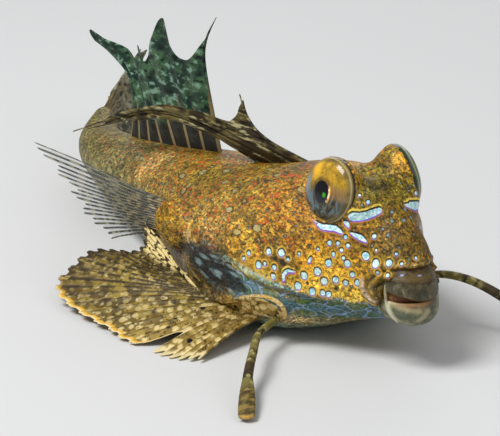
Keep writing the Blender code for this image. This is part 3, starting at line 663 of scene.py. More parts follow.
# Soft patches of colour: pixel, radius in mm, colour, strength
patches = ((225, 176, 10, "olive", 0.5), (212, 226, 6.5, "sand", 0.45), (265, 178, 7, "olive", 0.4),
           (148, 164, 4.0, "sand", 0.6), (163, 157, 3.4, "sand", 0.55), (112, 165, 8, "greyGreen", 0.2),
           (297, 170, 4.5, "olive", 0.9), (300, 166, 3.5, "umber", 0.5), (285, 195, 6, "orange", 0.2),
           (300, 235, 6, "orange", 0.18), (345, 250, 5, "ochre", 0.6), (400, 235, 6, "brown", 0.7),
           (388, 205, 4, "ochre", 0.4), (362, 180, 4, "olive", 0.7), (388, 165, 4.5, "olive", 0.85),
           (376, 196, 3.4, "olive", 0.4), (402, 167, 2.0, "gold", 0.5), (400, 185, 3.0, "olive", 0.5),
           (400, 158, 1.4, "gold", 0.6), (340, 272, 4.4, "gold", 0.9), (312, 284, 3.8, "yellow", 0.9),
           (322, 266, 3.0, "gold", 0.6), (325, 289, 3.2, "yellow", 0.9), (290, 278, 2.4, "yellow", 0.95),
           (303, 268, 3.0, "gold", 0.7), (347, 290, 3.2, "yellow", 0.55), (356, 298, 2.0, "yellow", 0.6),
           (282, 262, 3.0, "umber", 0.85), (273, 255, 2.2, "brown", 0.7), (262, 276, 2.0, "yellow", 0.7),
           (250, 266, 2.2, "gold", 0.6), (203, 250, 2.6, "shade", 0.9), (217, 262, 3.0, "shade", 0.97),
           (231, 275, 2.8, "shade", 0.95), (243, 287, 2.2, "shade", 0.8), (208, 272, 3.4, "shade", 0.9),
           (216, 288, 3.0, "shade", 0.9), (194, 262, 3.2, "shade", 0.9), (180, 250, 2.4, "shade", 0.75),
           (187, 268, 2.2, "shade", 0.8), (200, 284, 2.2, "shade", 0.8), (188, 236, 1.0, "cream", 0.9),
           (161, 202, 0.9, "cream", 0.8), (171, 191, 0.7, "cream", 0.6), (207, 228, 1.4, "sand", 0.7),
           (222, 222, 1.6, "sand", 0.6), (236, 240, 2.4, "gold", 0.4), (197, 214, 1.6, "sand", 0.6),
           (252, 240, 2.2, "yellow", 0.35), (372, 226, 3.0, "brown", 0.4), (322, 237, 2.0, "gold", 0.45),
           (362, 226, 2.0, "gold", 0.3), (298, 318, 2.4, "cream", 0.9),
           (286, 299, 1.7, "throatGreen", 0.9), (309, 303, 1.9, "throatGreen", 0.9),
           (338, 308, 2.2, "throatGreen", 0.9))


def knottedPath(knots):
    # the path and its half width, from knots that each give a pixel and a half width
    path = seenPath(skinTree, [knot[:2] for knot in knots])
    share = np.linspace(0, 1, len(path))
    return path, np.interp(share, np.linspace(0, 1, len(knots)), [knot[2] for knot in knots])


def markedPath(places, knots, reach):
    # the distance to the edge of a mark, the same on both sides
    path, widths = knottedPath(knots)
    twin = nearTo(places, mirroredSide(path), reach, widths)
    return np.minimum(nearTo(places, path, reach, widths), twin)


farAway = 5.0  # the distance to a mark where none is near


def paintSkin(mesh, places):
    station, height = -places[:, 0], places[:, 2]
    colour = np.tile(palette["ochre"], (len(places), 1))

    def lay(mask, name):
        colour[:] = colour * (1 - mask[:, None]) + np.array(palette[name]) * mask[:, None]

    lay(np.clip((station - 50) / 50, 0, 0.75), "tailOlive")
    lay(np.clip((20 - station) / 12, 0, 1) * 0.75, "brown")
    under = np.clip((6.5 - height) / 4.5, 0, 1)
    lay(under * 0.9, "belly")
    throatPath = seenPath(skinTree, marks["throat"])
    throat = np.zeros(len(places))
    for line in (throatPath, mirroredSide(throatPath)):
        throat = np.maximum(throat, np.exp(-(nearTo(places, line, 9.0) / 2.6) ** 2))
    lay(throat * 0.4, "slateBlue")
    for px, py, radius, name, strength in patches:
        centre = seenOn(skinTree, px, py)
        for spot in (centre, mirroredSide(centre)):
            lay(strength * np.exp(-(np.linalg.norm(places - spot, axis=1) / radius) ** 2), name)

    for pixels, width, name, strength in marks["strokes"]:
        path = seenPath(skinTree, pixels)
        for line in (path, mirroredSide(path)):
            lay(strength * np.exp(-(nearTo(places, line, 3 * width) / width) ** 2), name)

    rise = np.array(viewUp)

    def fields(*names):
        return {name: np.full(len(places), farAway) for name in names}

    spots = fields("core", "over", "under")
    for name in ("spots", "snoutSpots"):
        for px, py, radius in marks[name]:
            centre = seenOn(skinTree, px, py)
            for twin in (1.0, -1.0) if name == "spots" else (1.0,):
                for field, lift, grow in marks["spotEdges"]:
                    at = (centre + rise * lift) * np.array([1.0, twin, 1.0])
                    away = np.linalg.norm(places - at, axis=1) - radius - grow
                    np.minimum(spots[field], away, out=spots[field])
    dots = fields("darkDots", "dimSpots")
    for name, field in dots.items():
        for px, py, radius in marks[name]:
            centre = seenOn(skinTree, px, py)
            for twin in (centre, mirroredSide(centre)):
                np.minimum(field, np.linalg.norm(places - twin, axis=1) - radius, out=field)
    bars = fields("core", "over", "under", "gold")
    for knots in marks["bars"] + marks["plainBars"] + (marks["farBar"],):
        path, widths = knottedPath(knots)
        for twin in (False,) if knots is marks["farBar"] else (False, True):
            for field, lift in marks["barEdges"]:
                if field == "gold" and knots in marks["plainBars"]:
                    continue
                line = path + rise * lift
                line = mirroredSide(line) if twin else line
                np.minimum(bars[field], nearTo(places, line, 4.0, widths), out=bars[field])
    writeNumber(mesh, "finRoot", markedPath(places, marks["finRoot"], 4.0))
    writeVector(mesh, "paint", colour)
    writeVector(mesh, "barFields", np.stack([bars["core"], bars["over"], bars["under"]], 1))
    writeVector(mesh, "spotFields", np.stack([spots["core"], spots["over"], spots["under"]], 1))
    writeVector(mesh, "moreFields", np.stack([bars["gold"], dots["darkDots"], throat], 1))
    writeNumber(mesh, "dimSpots", dots["dimSpots"])
    backward = np.clip((station - 14) / 10, 0, 1) * np.clip((height - 12) / 6, 0, 1)
    calm = np.zeros(len(places))
    for px, py, radius in marks["calm"]:
        fold = seenOn(skinTree, px, py)
        for spot in (fold, mirroredSide(fold)):
            np.maximum(calm, np.exp(-(np.linalg.norm(places - spot, axis=1) / radius) ** 4), out=calm)
    # along the painted shade patch below the gill cover, across it and the distance to its edge, with
    # both sides folded into one
    start, end = (seenOn(skinTree, *marks["gill"][k][:2]) for k in (0, -1))
    flow = (end - start) / np.linalg.norm(end - start)
    folded = places * np.where(places[:, 1:2] > 0, (1.0, -1.0, 1.0), (1.0, 1.0, 1.0)) - start
    run = folded @ flow
    across = np.linalg.norm(folded - run[:, None] * flow, axis=1)
    writeVector(mesh, "gillMap", np.stack([run, across, markedPath(places, marks["gill"], 3.0)], 1))
    writeNumber(mesh, "curlAway", markedPath(places, marks["curl"], 3.0))
    writeVector(mesh, "zones", np.stack([backward, 1 - 0.75 * calm, np.zeros(len(places))], 1))


paintSkin(skinMesh, skinPlaces)
print("skin painted")


def spottedFin(p, u):
    # the pelvic fins' brown and cream spotting, paler towards their front
    mottle = p.noise(0.34, detail=4.0, distortion=0.4)
    fine = p.noise(1.5, detail=4.0)
    colour = p.fade((0.10, 0.065, 0.010), (0.34, 0.24, 0.04), mottle, 0.42, 0.6)
    colour = p.mix(p.band(u, 12.0, 5.0, 0.0, 0.5), colour, (0.46, 0.30, 0.07))
    colour = p.fade(colour, (0.045, 0.024, 0.008), fine, 0.47, 0.37, 0.85)
    blobs = p.add(p.cells(0.66), p.math("MULTIPLY_ADD", fine, 0.5, -0.25))
    front = p.band(u, 14.0, 5.0, 0.35, 1.0)
    colour = p.lay(colour, (0.74, 0.58, 0.25), p.both(p.band(blobs, 0.5, 0.3), front))
    pearls = p.add(p.cells(1.0), p.math("MULTIPLY_ADD", fine, 0.4, -0.2))
    pearls = p.both(p.band(pearls, 0.36, 0.22), p.band(p.noise(0.5, detail=1.0), 0.47, 0.55))
    colour = p.lay(colour, (0.80, 0.68, 0.36), pearls, 0.6)
    specks = p.both(p.band(p.cells(1.25), 0.26, 0.18), p.band(p.noise(0.45, detail=1.0), 0.52, 0.45))
    colour = p.lay(colour, "umber", specks, 0.85)
    dots = p.both(p.band(p.cells(0.34), 0.2, 0.14), p.band(u, 15.0, 9.0))
    return p.mix(dots, colour, "black")


def skinMaterial():
    p = Paint("mottledSkin", roughness=0.45, sheen=0.3)
    zones = p.parts("zones")  # how far back and up, then how rough
    bars = p.parts("barFields")
    spots = p.parts("spotFields")
    more = p.parts("moreFields")
    drawn = p.stretched((0.7, 1.0, 1.0))
    grain = p.noise(2.3, drawn, detail=5.0, roughness=0.66)
    speckle = p.noise(3.4, detail=2.0)
    coarse = p.noise(0.42, drawn, detail=3.0)
    fineGrain = p.noise(1.6, detail=3.0)
    pebbles = p.cells(1.7, drawn)
    seams = p.cells(1.7, drawn, feature="DISTANCE_TO_EDGE")

    colour = p.attribute("paint", "Vector")
    colour = p.fade(toned(p, colour, (0.6, 0.58, 0.45)), colour, coarse, 0.36, 0.64)
    each = p.node("SeparateColor", {0: p.cells(1.5, drawn, output="Color")}).outputs[0]
    plain = colour
    colour = p.scaled(colour, p.band(each, 0.0, 1.0, 0.6, 1.5))
    colour = p.fade(colour, toned(p, colour, (2.1, 2.0, 1.7)), grain, 0.51, 0.62, 0.9)
    colour = p.fade(colour, toned(p, colour, (0.18, 0.16, 0.12)), grain, 0.48, 0.38, 0.95)
    colour = p.fade(colour, toned(p, colour, (2.0, 0.9, 0.3)), speckle, 0.56, 0.64, 0.8)
    colour = p.fade(colour, toned(p, colour, (0.5, 0.72, 0.4)), speckle, 0.43, 0.36, 0.7)
    colour = p.fade(colour, toned(p, colour, (0.3, 0.27, 0.22)), seams, 0.1, 0.02, 0.5)
    colour = p.mix(zones[1], plain, colour)

    dots = p.cells(0.9)
    some = p.band(p.noise(0.7, detail=0.0), 0.5, 0.54)
    colour = p.lay(colour, "umber", p.both(p.band(dots, 0.34, 0.28), some), 0.6)
    colour = p.lay(colour, "greyBlue", p.both(p.band(dots, 0.2, 0.14), some), 0.5)

    fleck = p.noise(1.25, p.stretched((0.6, 1.1, 1.1)), detail=2.0)
    fleck = p.both(p.band(fleck, 0.565, 0.61), zones[0])
    fleck = p.both(fleck, p.band(p.noise(0.12, detail=1.0), 0.34, 0.46))
    colour = p.lay(colour, "red", fleck, 0.75)
    ovals = p.add(p.cells(0.34, p.stretched((0.62, 1.0, 1.15))),
                  p.both(p.math("SUBTRACT", fineGrain, 0.5), 0.3))
    chosen = p.both(p.band(p.noise(0.16, detail=1.0), 0.46, 0.56), zones[0])
    ring = p.both(p.band(ovals, 0.3, 0.26), p.band(ovals, 0.17, 0.21))
    colour = p.lay(colour, "umber", p.both(ring, chosen), 0.8)
    dull = toned(p, p.attribute("paint", "Vector"), (1.1, 1.3, 1.6))
    dull = p.fade(dull, "greyGreen", grain, 0.42, 0.6)
    colour = p.lay(colour, dull, p.both(p.band(ovals, 0.22, 0.17), chosen), 0.7)

    # the throat's leaf-like patches between thin lines
    swirl = p.node("TexNoise", {"Vector": p.place, "Scale": 0.5, "Detail": 1.0}).outputs["Color"]
    net = {0: p.stretched((0.22, 0.4, 0.75)), 1: p.scaled(swirl, 0.9)}
    warped = p.node("VectorMath", net, operation="ADD").outputs[0]
    gaps = p.cells(1.0, warped, feature="DISTANCE_TO_EDGE")
    tint = p.node("SeparateColor", {0: p.cells(1.0, warped, output="Color")}).outputs[0]
    throat = p.band(more[2], 0.2, 0.55)
    leaf = p.fade("throatGreen", "slateBlue", tint, 0.35, 0.6)
    leaf = p.fade(toned(p, leaf, (0.5, 0.55, 0.5)), leaf, fineGrain, 0.42, 0.6)
    leaf = p.fade(leaf, "umber", gaps, 0.16, 0.08, 0.4)
    leaf = p.lay(leaf, "lilac", p.both(p.band(gaps, 0.07, 0.035), p.band(fineGrain, 0.36, 0.46)))
    colour = p.lay(colour, leaf, throat, 0.72)

    edge = p.math("MULTIPLY_ADD", p.noise(1.6, detail=1.0), 0.2, -0.1)

    def under(value, limit, soft=0.06):
        return p.band(p.add(value, edge), limit + soft, limit - soft)

    shine = p.fade("iceBlue", "paleBlue", p.noise(1.9, detail=3.0), 0.36, 0.62)
    colour = p.lay(colour, "umber", under(more[1], 0.0), 0.92)
    dim = p.attribute("dimSpots")
    colour = p.lay(colour, "umber", under(dim, 0.16), 0.8)
    colour = p.lay(colour, "greyBlue", under(dim, 0.0), 0.85)
    colour = p.lay(colour, "orange", under(bars[2], 0.2, 0.14), 0.75)
    colour = p.lay(colour, "yellow", under(more[0], 0.04, 0.1), 0.9)
    colour = p.lay(colour, "violet", under(bars[2], 0.02), 0.95)
    colour = p.lay(colour, "black", under(bars[1], 0.02), 0.97)
    colour = p.mix(under(bars[0], -0.04), colour, shine)
    low = p.band(p.node("SeparateXYZ", {0: p.place}).outputs[2], 20.0, 17.0, 0.25, 0.8)
    halo = p.both(under(spots[1], 0.32, 0.2), p.both(low, p.band(fineGrain, 0.34, 0.5, 0.4, 1.0)))
    colour = p.mix(halo, colour, p.mix(0.4, "gold", "yellow"))
    colour = p.lay(colour, "violet", under(spots[2], 0.08), 0.8)
    colour = p.lay(colour, "umber", under(spots[1], 0.02), 0.9)
    colour = p.mix(under(spots[0], 0.0), colour, shine)

    # painted shade below the gill cover, near black with grey-blue and sand streaks, frayed at its edge
    gill = p.parts("gillMap")
    dashes = p.cells(1.0, p.flat(p.both(gill[0], 0.3), p.both(gill[1], 1.2)))
    dashes = p.math("MULTIPLY_ADD", fineGrain, 0.5, p.add(dashes, -0.25))
    shadow = p.fade("black", "shade", fineGrain, 0.4, 0.6)
    shadow = p.fade(shadow, "greyBlue", dashes, 0.5, 0.22, 0.85)
    shadow = p.lay(shadow, "sand", p.both(p.band(dashes, 0.22, 0.08), p.band(grain, 0.5, 0.6)))
    frayed = p.add(gill[2], p.add(p.both(grain, 1.6), p.both(coarse, 2.2)))
    colour = p.fade(colour, shadow, frayed, 2.5, 1.3, 0.88)
    root = p.band(p.add(p.attribute("finRoot"), edge), 0.15, -0.1)
    colour = p.mix(root, colour, toned(p, spottedFin(p, 4.0), (1.25, 1.2, 1.1)))
    curl = p.add(p.attribute("curlAway"), edge)
    colour = p.lay(colour, "umber",
                   p.both(p.band(curl, 0.6, 0.1), p.band(fineGrain, 0.4, 0.56, 0.1, 0.5)))
    cord = p.fade("gold", "cream", grain, 0.42, 0.56)
    colour = p.lay(colour, cord,
                   p.both(p.band(curl, 0.16, -0.14), p.band(fineGrain, 0.34, 0.5, 0.3, 0.95)))

    height = p.add(p.both(grain, 0.6), p.both(p.band(pebbles, 0.0, 0.7, 1.0, 0.0), 0.5))
    rough = p.band(grain, 0.3, 0.7, 0.55, 0.34)
    return p.put(colour, rough, height, bump=0.3, strength=0.8)


writePlaces(skinMesh, toMetres(skinPlaces))
addPiece("bodySkin", skinMesh, skinMaterial(), ("head", "torso", "tail"))
print("skin finished:", len(skinMesh.polygons), "faces")


# Eyes: a clear-looking dome with its sides drawn up steeply from the rim
def eyeMaterial():
    p = Paint("wetEye", roughness=0.16, coat=0.22, sheen=0.3)
    p.shader.inputs["Coat Roughness"].default_value = 0.02
    place = p.attribute("eyeMap", "Vector")
    forward, upward, away = p.parts("eyeMap")
    streaks = p.noise(0.8, p.stretched((1.0, 0.5, 1.0), place), detail=3.0, distortion=0.7)
    clouds = p.noise(0.5, place, detail=3.0)

    fibres = p.noise(1.4, p.stretched((1.0, 0.5, 1.0), place), detail=4.0, distortion=1.2)
    colour = p.fade((0.075, 0.065, 0.026), (0.34, 0.205, 0.020), upward, -1.8, 1.6)
    colour = p.lay(colour, (0.56, 0.32, 0.025),
                   p.both(p.band(clouds, 0.36, 0.66), p.band(upward, 0.4, 2.4)))
    colour = p.fade(colour, toned(p, colour, (0.35, 0.32, 0.3)), fibres, 0.5, 0.34, 0.6)
    colour = p.fade(colour, toned(p, colour, (1.8, 1.7, 1.5)), fibres, 0.54, 0.7, 0.5)
    blue = p.both(p.band(streaks, 0.49, 0.57), p.band(upward, 0.4, -1.1))
    colour = p.lay(colour, (0.09, 0.17, 0.21), blue, 0.7)
    colour = p.lay(colour, (0.016, 0.012, 0.005),
                   p.both(p.band(streaks, 0.47, 0.41), p.band(upward, 0.8, -0.9)))
    strip = p.both(p.band(forward, -2.9, -3.5), p.band(p.math("ABSOLUTE", upward), 2.8, 1.2))
    colour = p.lay(colour, (0.20, 0.26, 0.27), strip, 0.7)
    level = p.math("ABSOLUTE", p.add(upward, -0.1))
    rosy = p.both(p.band(forward, 0.9, 1.8), p.band(level, 1.5, 0.6))
    colour = p.lay(colour, (0.32, 0.19, 0.09), rosy, 0.5)
    glow = p.attribute("glowAway")
    colour = p.fade(colour, (0.95, 0.50, 0.03), glow, 1.1, -0.2, 0.85)

    pupil = p.attribute("pupilAway")
    # a painted highlight: an orange to pale yellow crescent beside the pupil
    highlightCrescent = p.band(p.attribute("highlightCrescentAway"), 0.5, -0.2)
    colour = p.fade(colour, (0.02, 0.014, 0.01), pupil, 0.8, 0.2, 0.55)
    highlightCrescent = p.both(highlightCrescent, p.band(p.noise(2.0, place, detail=2.0), 0.4, 0.5))
    colour = p.lay(colour, (0.95, 0.36, 0.03), p.both(p.band(pupil, 0.6, 0.36), highlightCrescent))
    colour = p.lay(colour, (1.0, 0.86, 0.5), p.both(p.band(pupil, 0.36, 0.24), highlightCrescent))
    colour = p.fade(colour, (0.002, 0.002, 0.004), pupil, 0.06, -0.06)
    colour = p.fade(colour, (0.05, 0.36, 0.015), p.attribute("glintAway"), 0.16, -0.2, 0.95)

    # painted light on the left eye's side: the teal of the water seen through its clear cornea
    sea = p.both(p.attribute("sea"), p.band(upward, -1.6, 0.4))
    side = p.mix(sea, (0.23, 0.165, 0.05), (0.02, 0.17, 0.14))
    side = p.fade(toned(p, side, (0.55, 0.55, 0.55)), side, clouds, 0.42, 0.58)
    colour = p.fade(colour, side, away, 4.4, 5.0, 0.8)
    pale = p.both(p.band(away, 5.2, 5.26), p.band(away, 5.4, 5.34))
    colour = p.lay(colour, (0.50, 0.42, 0.20), pale, 0.7)
    colour = p.fade(colour, (0.02, 0.018, 0.01), away, 5.42, 5.48, 0.9)
    return p.put(colour)


def eyeball(side):
    bm = bmesh.new()
    bmesh.ops.create_uvsphere(bm, u_segments=96, v_segments=64, radius=1.0)
    mesh = meshFrom(bm, "leftEye" if side > 0 else "rightEye")
    ball = readPlaces(mesh)
    out = np.linalg.norm(ball[:, :2], axis=1)
    power = eyes["squareness"]
    rise = np.sign(ball[:, 2]) * (1 - np.minimum(out, 1) ** power) ** (1 / power)
    flat = ball[:, :2] * eyes["radius"]
    axis = np.array(eyeAxis(side))
    ahead = np.array([1.0, 0.0, 0.0]) - axis * axis[0]
    ahead /= np.linalg.norm(ahead)
    upward = np.cross(ahead, axis) * side
    centre = np.array(eyeCentre(side, eyes["sink"]))
    places = (centre + flat[:, :1] * ahead * side + flat[:, 1:] * upward
              + (rise * eyes["dome"])[:, None] * axis)
    writePlaces(mesh, places)
    return mesh, np.stack([flat[:, 0] * side, flat[:, 1]], 1), centre, ahead, upward


def addEyes():
    material = eyeMaterial()
    made = {side: eyeball(side) for side in (-1, 1)}
    mesh, flat, centre, ahead, upward = made[-1]
    tree = sightTree(mesh)

    def onEye(pixel):
        away = seenOn(tree, *pixel) - centre
        return np.array([away @ ahead, away @ upward])

    pupil, glint, glow = (onEye(eyes[name]) for name in ("pupilPixel", "glintPixel", "glowPixel"))
    for side, (mesh, flat, centre, ahead, upward) in made.items():
        tall = (flat - pupil) / np.array([1.0, 1.14])
        writeNumber(mesh, "pupilAway", np.linalg.norm(tall, axis=1) - eyes["pupil"])
        writeNumber(mesh, "glintAway", np.linalg.norm(flat - glint, axis=1) - 0.4)
        writeNumber(mesh, "glowAway", np.linalg.norm((flat - glow) / np.array([1.0, 1.6]), axis=1) - 0.5)
        # where the painted highlight crescent beside the pupil lies
        right = np.abs(flat - pupil - np.array([2.1, -0.1])) / np.array([0.8, 1.4])
        writeNumber(mesh, "highlightCrescentAway", np.linalg.norm(right, axis=1) - 1.0)
        # only the left eye gets the painted teal of water seen through the cornea
        writeNumber(mesh, "sea", np.full(len(flat), 1.0 if side > 0 else 0.0))
        writeVector(mesh, "eyeMap", np.stack([flat[:, 0], flat[:, 1], np.linalg.norm(flat, axis=1)], 1))
        writePlaces(mesh, toMetres(readPlaces(mesh)))
        name, node = ("leftEye", "eye_left") if side > 0 else ("rightEye", "eye_right")
        addPiece(name, mesh, material, (node,))


addEyes()
print("eyes set")

# Jaws: two soft lips drawn round the open mouth
mouth = dict(
    back=-3.7, columns=120, rows=64, span=112.0, edgeRadius=0.3, upperTilt=0.13, lowerTilt=-0.13,
    middle=12.4,
    # each row: how far forward and how high in front, then how far out and how high at the corners
    upper=((-1.8, 18.0, 3.0, 17.2), (-1.0, 17.2, 3.5, 16.6), (-0.1, 16.4, 3.9, 15.9),
           (0.7, 15.2, 4.3, 15.0), (1.2, 13.6, 4.65, 14.0), (1.2, 12.6, 4.7, 13.3),
           (0.8, 12.15, 4.55, 12.9), (0.2, 12.5, 4.2, 12.9), (-1.6, 14.4, 3.4, 13.6)),
    lower=((-1.8, 9.8, 3.2, 10.6), (-0.2, 11.0, 4.0, 11.6), (0.7, 11.85, 4.4, 12.2),
           (1.3, 11.7, 4.62, 12.1), (1.6, 10.1, 4.75, 11.2), (1.4, 9.1, 4.7, 10.1), (0.6, 8.2, 4.3, 9.1),
           (-0.9, 7.5, 3.4, 8.4), (-3.4, 7.2, 1.8, 7.9)),
    # tones: skin, mottling, rim, inside
    brownTones=((0.060, 0.036, 0.011), (0.13, 0.080, 0.022), (0.15, 0.13, 0.07), (0.16, 0.045, 0.02)),
    paleTones=((0.22, 0.22, 0.12), (0.10, 0.11, 0.065), (0.62, 0.52, 0.30), (0.16, 0.045, 0.02)),
    dashes=((386.8, 275.4, 0.26), (402, 275.4, 0.28), (419.6, 275.6, 0.24)),
    # soft marks on the lower lip: pixels, half width, colour, strength; the near black one at its far
    # edge is painted shade
    strokes=((((395, 312), (404, 315), (414, 316)), 0.9, (0.10, 0.12, 0.075), 0.8),
             (((433, 299), (431, 306), (429, 314)), 1.0, (0.030, 0.036, 0.036), 0.9),
             (((388, 299.6), (398, 303), (410, 305), (422, 303.6), (430, 299)), 0.55,
              (0.24, 0.095, 0.028), 0.95),
             (((391, 303.5), (399, 307.5), (409, 310.5), (420, 312)), 0.34, (0.52, 0.42, 0.22), 0.7),
             (((387.5, 303), (388.5, 309), (391.5, 315), (396, 320)), 0.4, (0.74, 0.70, 0.50), 0.9),
             (((428, 311.5), (424.5, 316.5), (418, 321)), 0.4, (0.56, 0.48, 0.27), 0.7)),
    corner=((-3.4, -4.75, 14.4), (-3.1, -4.85, 12.8), (-2.8, -4.75, 11.2), (-2.2, -4.5, 9.8),
            (-1.0, -3.8, 8.5)))


def lipMesh(name, rows, tilt):
    bm = bmesh.new()
    bmesh.ops.create_grid(bm, x_segments=mouth["columns"], y_segments=mouth["rows"], size=0.5)
    mesh = meshFrom(bm, name)
    flat = readPlaces(mesh)
    u, t = flat[:, 0] + 0.5, flat[:, 1] + 0.5
    front = along([(row[0], 0.0, row[1]) for row in rows], t)
    corner = along([(0.0, row[2], row[3]) for row in rows], t)
    turned = np.radians((u - 0.5) * 2 * mouth["span"])
    folds = 0.05 * np.sin(turned * 13 + 0.7) * np.clip(np.abs(turned) - 0.5, 0, 1)
    x = mouth["back"] + (front[:, 0] + folds - mouth["back"]) * np.cos(turned)
    y = corner[:, 1] * np.sin(turned)
    share = np.sin(np.clip(np.abs(turned), 0, math.pi / 2)) ** 2
    z = front[:, 2] + (corner[:, 2] - front[:, 2]) * share
    z -= tilt * y * np.clip(1 - np.abs(z - mouth["middle"]) / 3.6, 0, 1)
    writePlaces(mesh, np.stack([x, y, z], 1))
    writeVector(mesh, "lipMap", np.stack([u, t, share], 1))
    return mesh


def lipMaterial(name, tones, rim, start, end):
    # the inside's tone takes over from start to end, and the rim's is strongest at rim
    p = Paint(name, roughness=0.42, sheen=0.28)
    u, t, _ = p.parts("lipMap")
    mottle = p.noise(0.45, p.stretched((0.8, 0.8, 1.1)), detail=4.0)
    streak = p.noise(1.0, p.flat(p.both(u, 46.0), p.both(t, 5.0)), detail=3.0)
    colour = p.fade(tones[0], tones[1], mottle, 0.42, 0.6)
    blotch = p.noise(1.1, detail=4.0, distortion=0.6)
    colour = p.fade(colour, tones[2], blotch, 0.54, 0.66, 0.5)
    colour = p.fade(colour, tuple(c * 0.4 for c in tones[0]), blotch, 0.44, 0.34, 0.6)
    colour = p.fade(colour, tones[2], streak, 0.5, 0.66, 0.2)
    low = p.band(p.math("ABSOLUTE", p.math("SUBTRACT", t, rim)), 0.08, 0.02)
    colour = p.lay(colour, tones[2], low, 0.4)
    colour = p.fade(colour, tones[3], t, start, end)
    return p, colour, mottle


def addMouth():
    shell = ("SOLIDIFY", dict(thickness=0.3, offset=0.0))
    upper = finished(lipMesh("upper", mouth["upper"], mouth["upperTilt"]), shell)
    lower = lipMesh("lower", mouth["lower"], mouth["lowerTilt"])
    edges = []
    t = np.linspace(0, 1, 30)
    radii = mouth["edgeRadius"] * np.interp(t, (0, 0.15, 0.7, 1), (0.4, 0.9, 0.7, 0.2))
    for side in (1, -1):
        edge = tubeMesh(along(np.array(mouth["corner"]) * (1, side, 1), t), radii)
        writeVector(edge, "lipMap", np.tile([0.5, 0.33, 1.0], (len(edge.vertices), 1)))
        edges.append(edge)
    lower = joinedMesh("lower", [finished(lower, shell)] + edges)
    p, colour, height = lipMaterial("brownLip", mouth["brownTones"], 0.66, 0.74, 0.84)
    t = p.parts("lipMap")[1]
    veil = p.both(p.band(t, 0.3, 0.46), p.band(t, 0.7, 0.64))
    veined = p.noise(0.75, p.stretched((1.0, 1.0, 0.7)), detail=4.0, distortion=0.9)
    clear = p.fade((0.040, 0.038, 0.020), (0.11, 0.105, 0.062), veined, 0.38, 0.62)
    clear = p.fade(clear, (0.34, 0.32, 0.22), veined, 0.58, 0.72, 0.6)
    colour = p.lay(colour, clear, veil, 0.75)
    # painted shade on the upper lip's top rows, under the snout fold
    colour = p.fade(colour, (0.10, 0.045, 0.012), t, 0.24, 0.1, 0.6)
    crease = p.math("MULTIPLY_ADD", veined, 0.16, p.add(t, -0.46))
    colour = p.fade(colour, "umber", p.math("ABSOLUTE", crease), 0.035, 0.0, 0.7)
    colour = p.fade(colour, (0.13, 0.060, 0.018), t, 0.62, 0.72, 0.6)
    # painted shade on the far corner of the upper lip
    farShade = p.band(p.attribute("lipSide"), 0.74, 0.84)
    colour = p.lay(colour, (0.018, 0.026, 0.026), farShade, 0.85)
    dashes = p.attribute("dashAway")
    colour = p.fade(colour, "umber", dashes, 0.2, 0.05, 0.6)
    colour = p.fade(colour, (0.38, 0.40, 0.62), dashes, 0.08, -0.1, 0.75)
    brown = p.put(colour, height=veined, bump=0.3)
    p, colour, height = lipMaterial("paleLip", mouth["paleTones"], 0.33, 0.26, 0.16)
    lowerTree = sightTree(lower)
    for k, (pixels, width, tone, strength) in enumerate(mouth["strokes"]):
        path = seenPath(lowerTree, pixels)
        writeNumber(lower, "lipStroke%d" % k, nearTo(readPlaces(lower), path, 3 * width) / width)
        away = p.math("MULTIPLY_ADD", height, 1.2, p.add(p.attribute("lipStroke%d" % k), -0.6))
        colour = p.fade(colour, tone, away, 2.1, 0.1, strength * 0.8)
    pale = p.put(colour, height=height, bump=0.1)
    tree, places = sightTree(upper), readPlaces(upper)
    dash = np.full(len(places), 3.0)
    for px, py, radius in mouth["dashes"]:
        found = seenOn(tree, px, py)
        if found is not None:
            apart = (places - found) / np.array([1.0, 1.9, 0.6])
            dash = np.minimum(dash, np.linalg.norm(apart, axis=1) - radius)
    writeNumber(upper, "dashAway", dash)
    writeNumber(upper, "lipSide", 0.5 + 0.5 * places[:, 1] / mouth["upper"][4][2] / 1.2)
    lips = ((upper, "upperLip", "upper_jaw", brown), (lower, "lowerJaw", "lower_jaw", pale))
    for mesh, name, node, material in lips:
        writePlaces(mesh, toMetres(readPlaces(mesh)))
        addPiece(name, mesh, material, (node,))
    bm = bmesh.new()
    shape = Matrix.Translation((mouth["back"] - 0.4, 0, 12.0)) @ Matrix.Diagonal((3.9, 4.5, 2.8, 1.0))
    bmesh.ops.create_uvsphere(bm, u_segments=32, v_segments=24, radius=1.0, matrix=shape)
    mesh = meshFrom(bm, "lining")
    writePlaces(mesh, toMetres(readPlaces(mesh)))
    p = Paint("mouthLining", roughness=0.4)
    soft = p.noise(0.9, detail=3.0)
    warm = p.fade((0.12, 0.040, 0.014), (0.26, 0.12, 0.045), soft, 0.35, 0.7)
    # painted shade: the mouth's lining darker on its far side
    farShade = p.band(p.node("SeparateXYZ", {0: p.place}).outputs[1], -1.5, 2.5)
    lining = p.put(p.mix(farShade, warm, (0.055, 0.048, 0.036)), height=soft)
    addPiece("mouthLining", mesh, lining)


addMouth()
print("mouth made")


# Fins
def gridMesh(name, columns, rows):
    bm = bmesh.new()
    bmesh.ops.create_grid(bm, x_segments=columns, y_segments=rows, size=0.5)
    mesh = meshFrom(bm, name)
    flat = readPlaces(mesh)
    return mesh, flat[:, 0] + 0.5, flat[:, 1] + 0.5


finDefaults = dict(perRay=8, rows=60, seed=3, uneven=0.03, sharp=2.0, fringe=0.0, splits=(), margin=None,
                   pleat=0.12, wave=0.3, flesh=0.0, fleshEnd=0.2, web=0.16, ridge=0.42, edge=0.12)


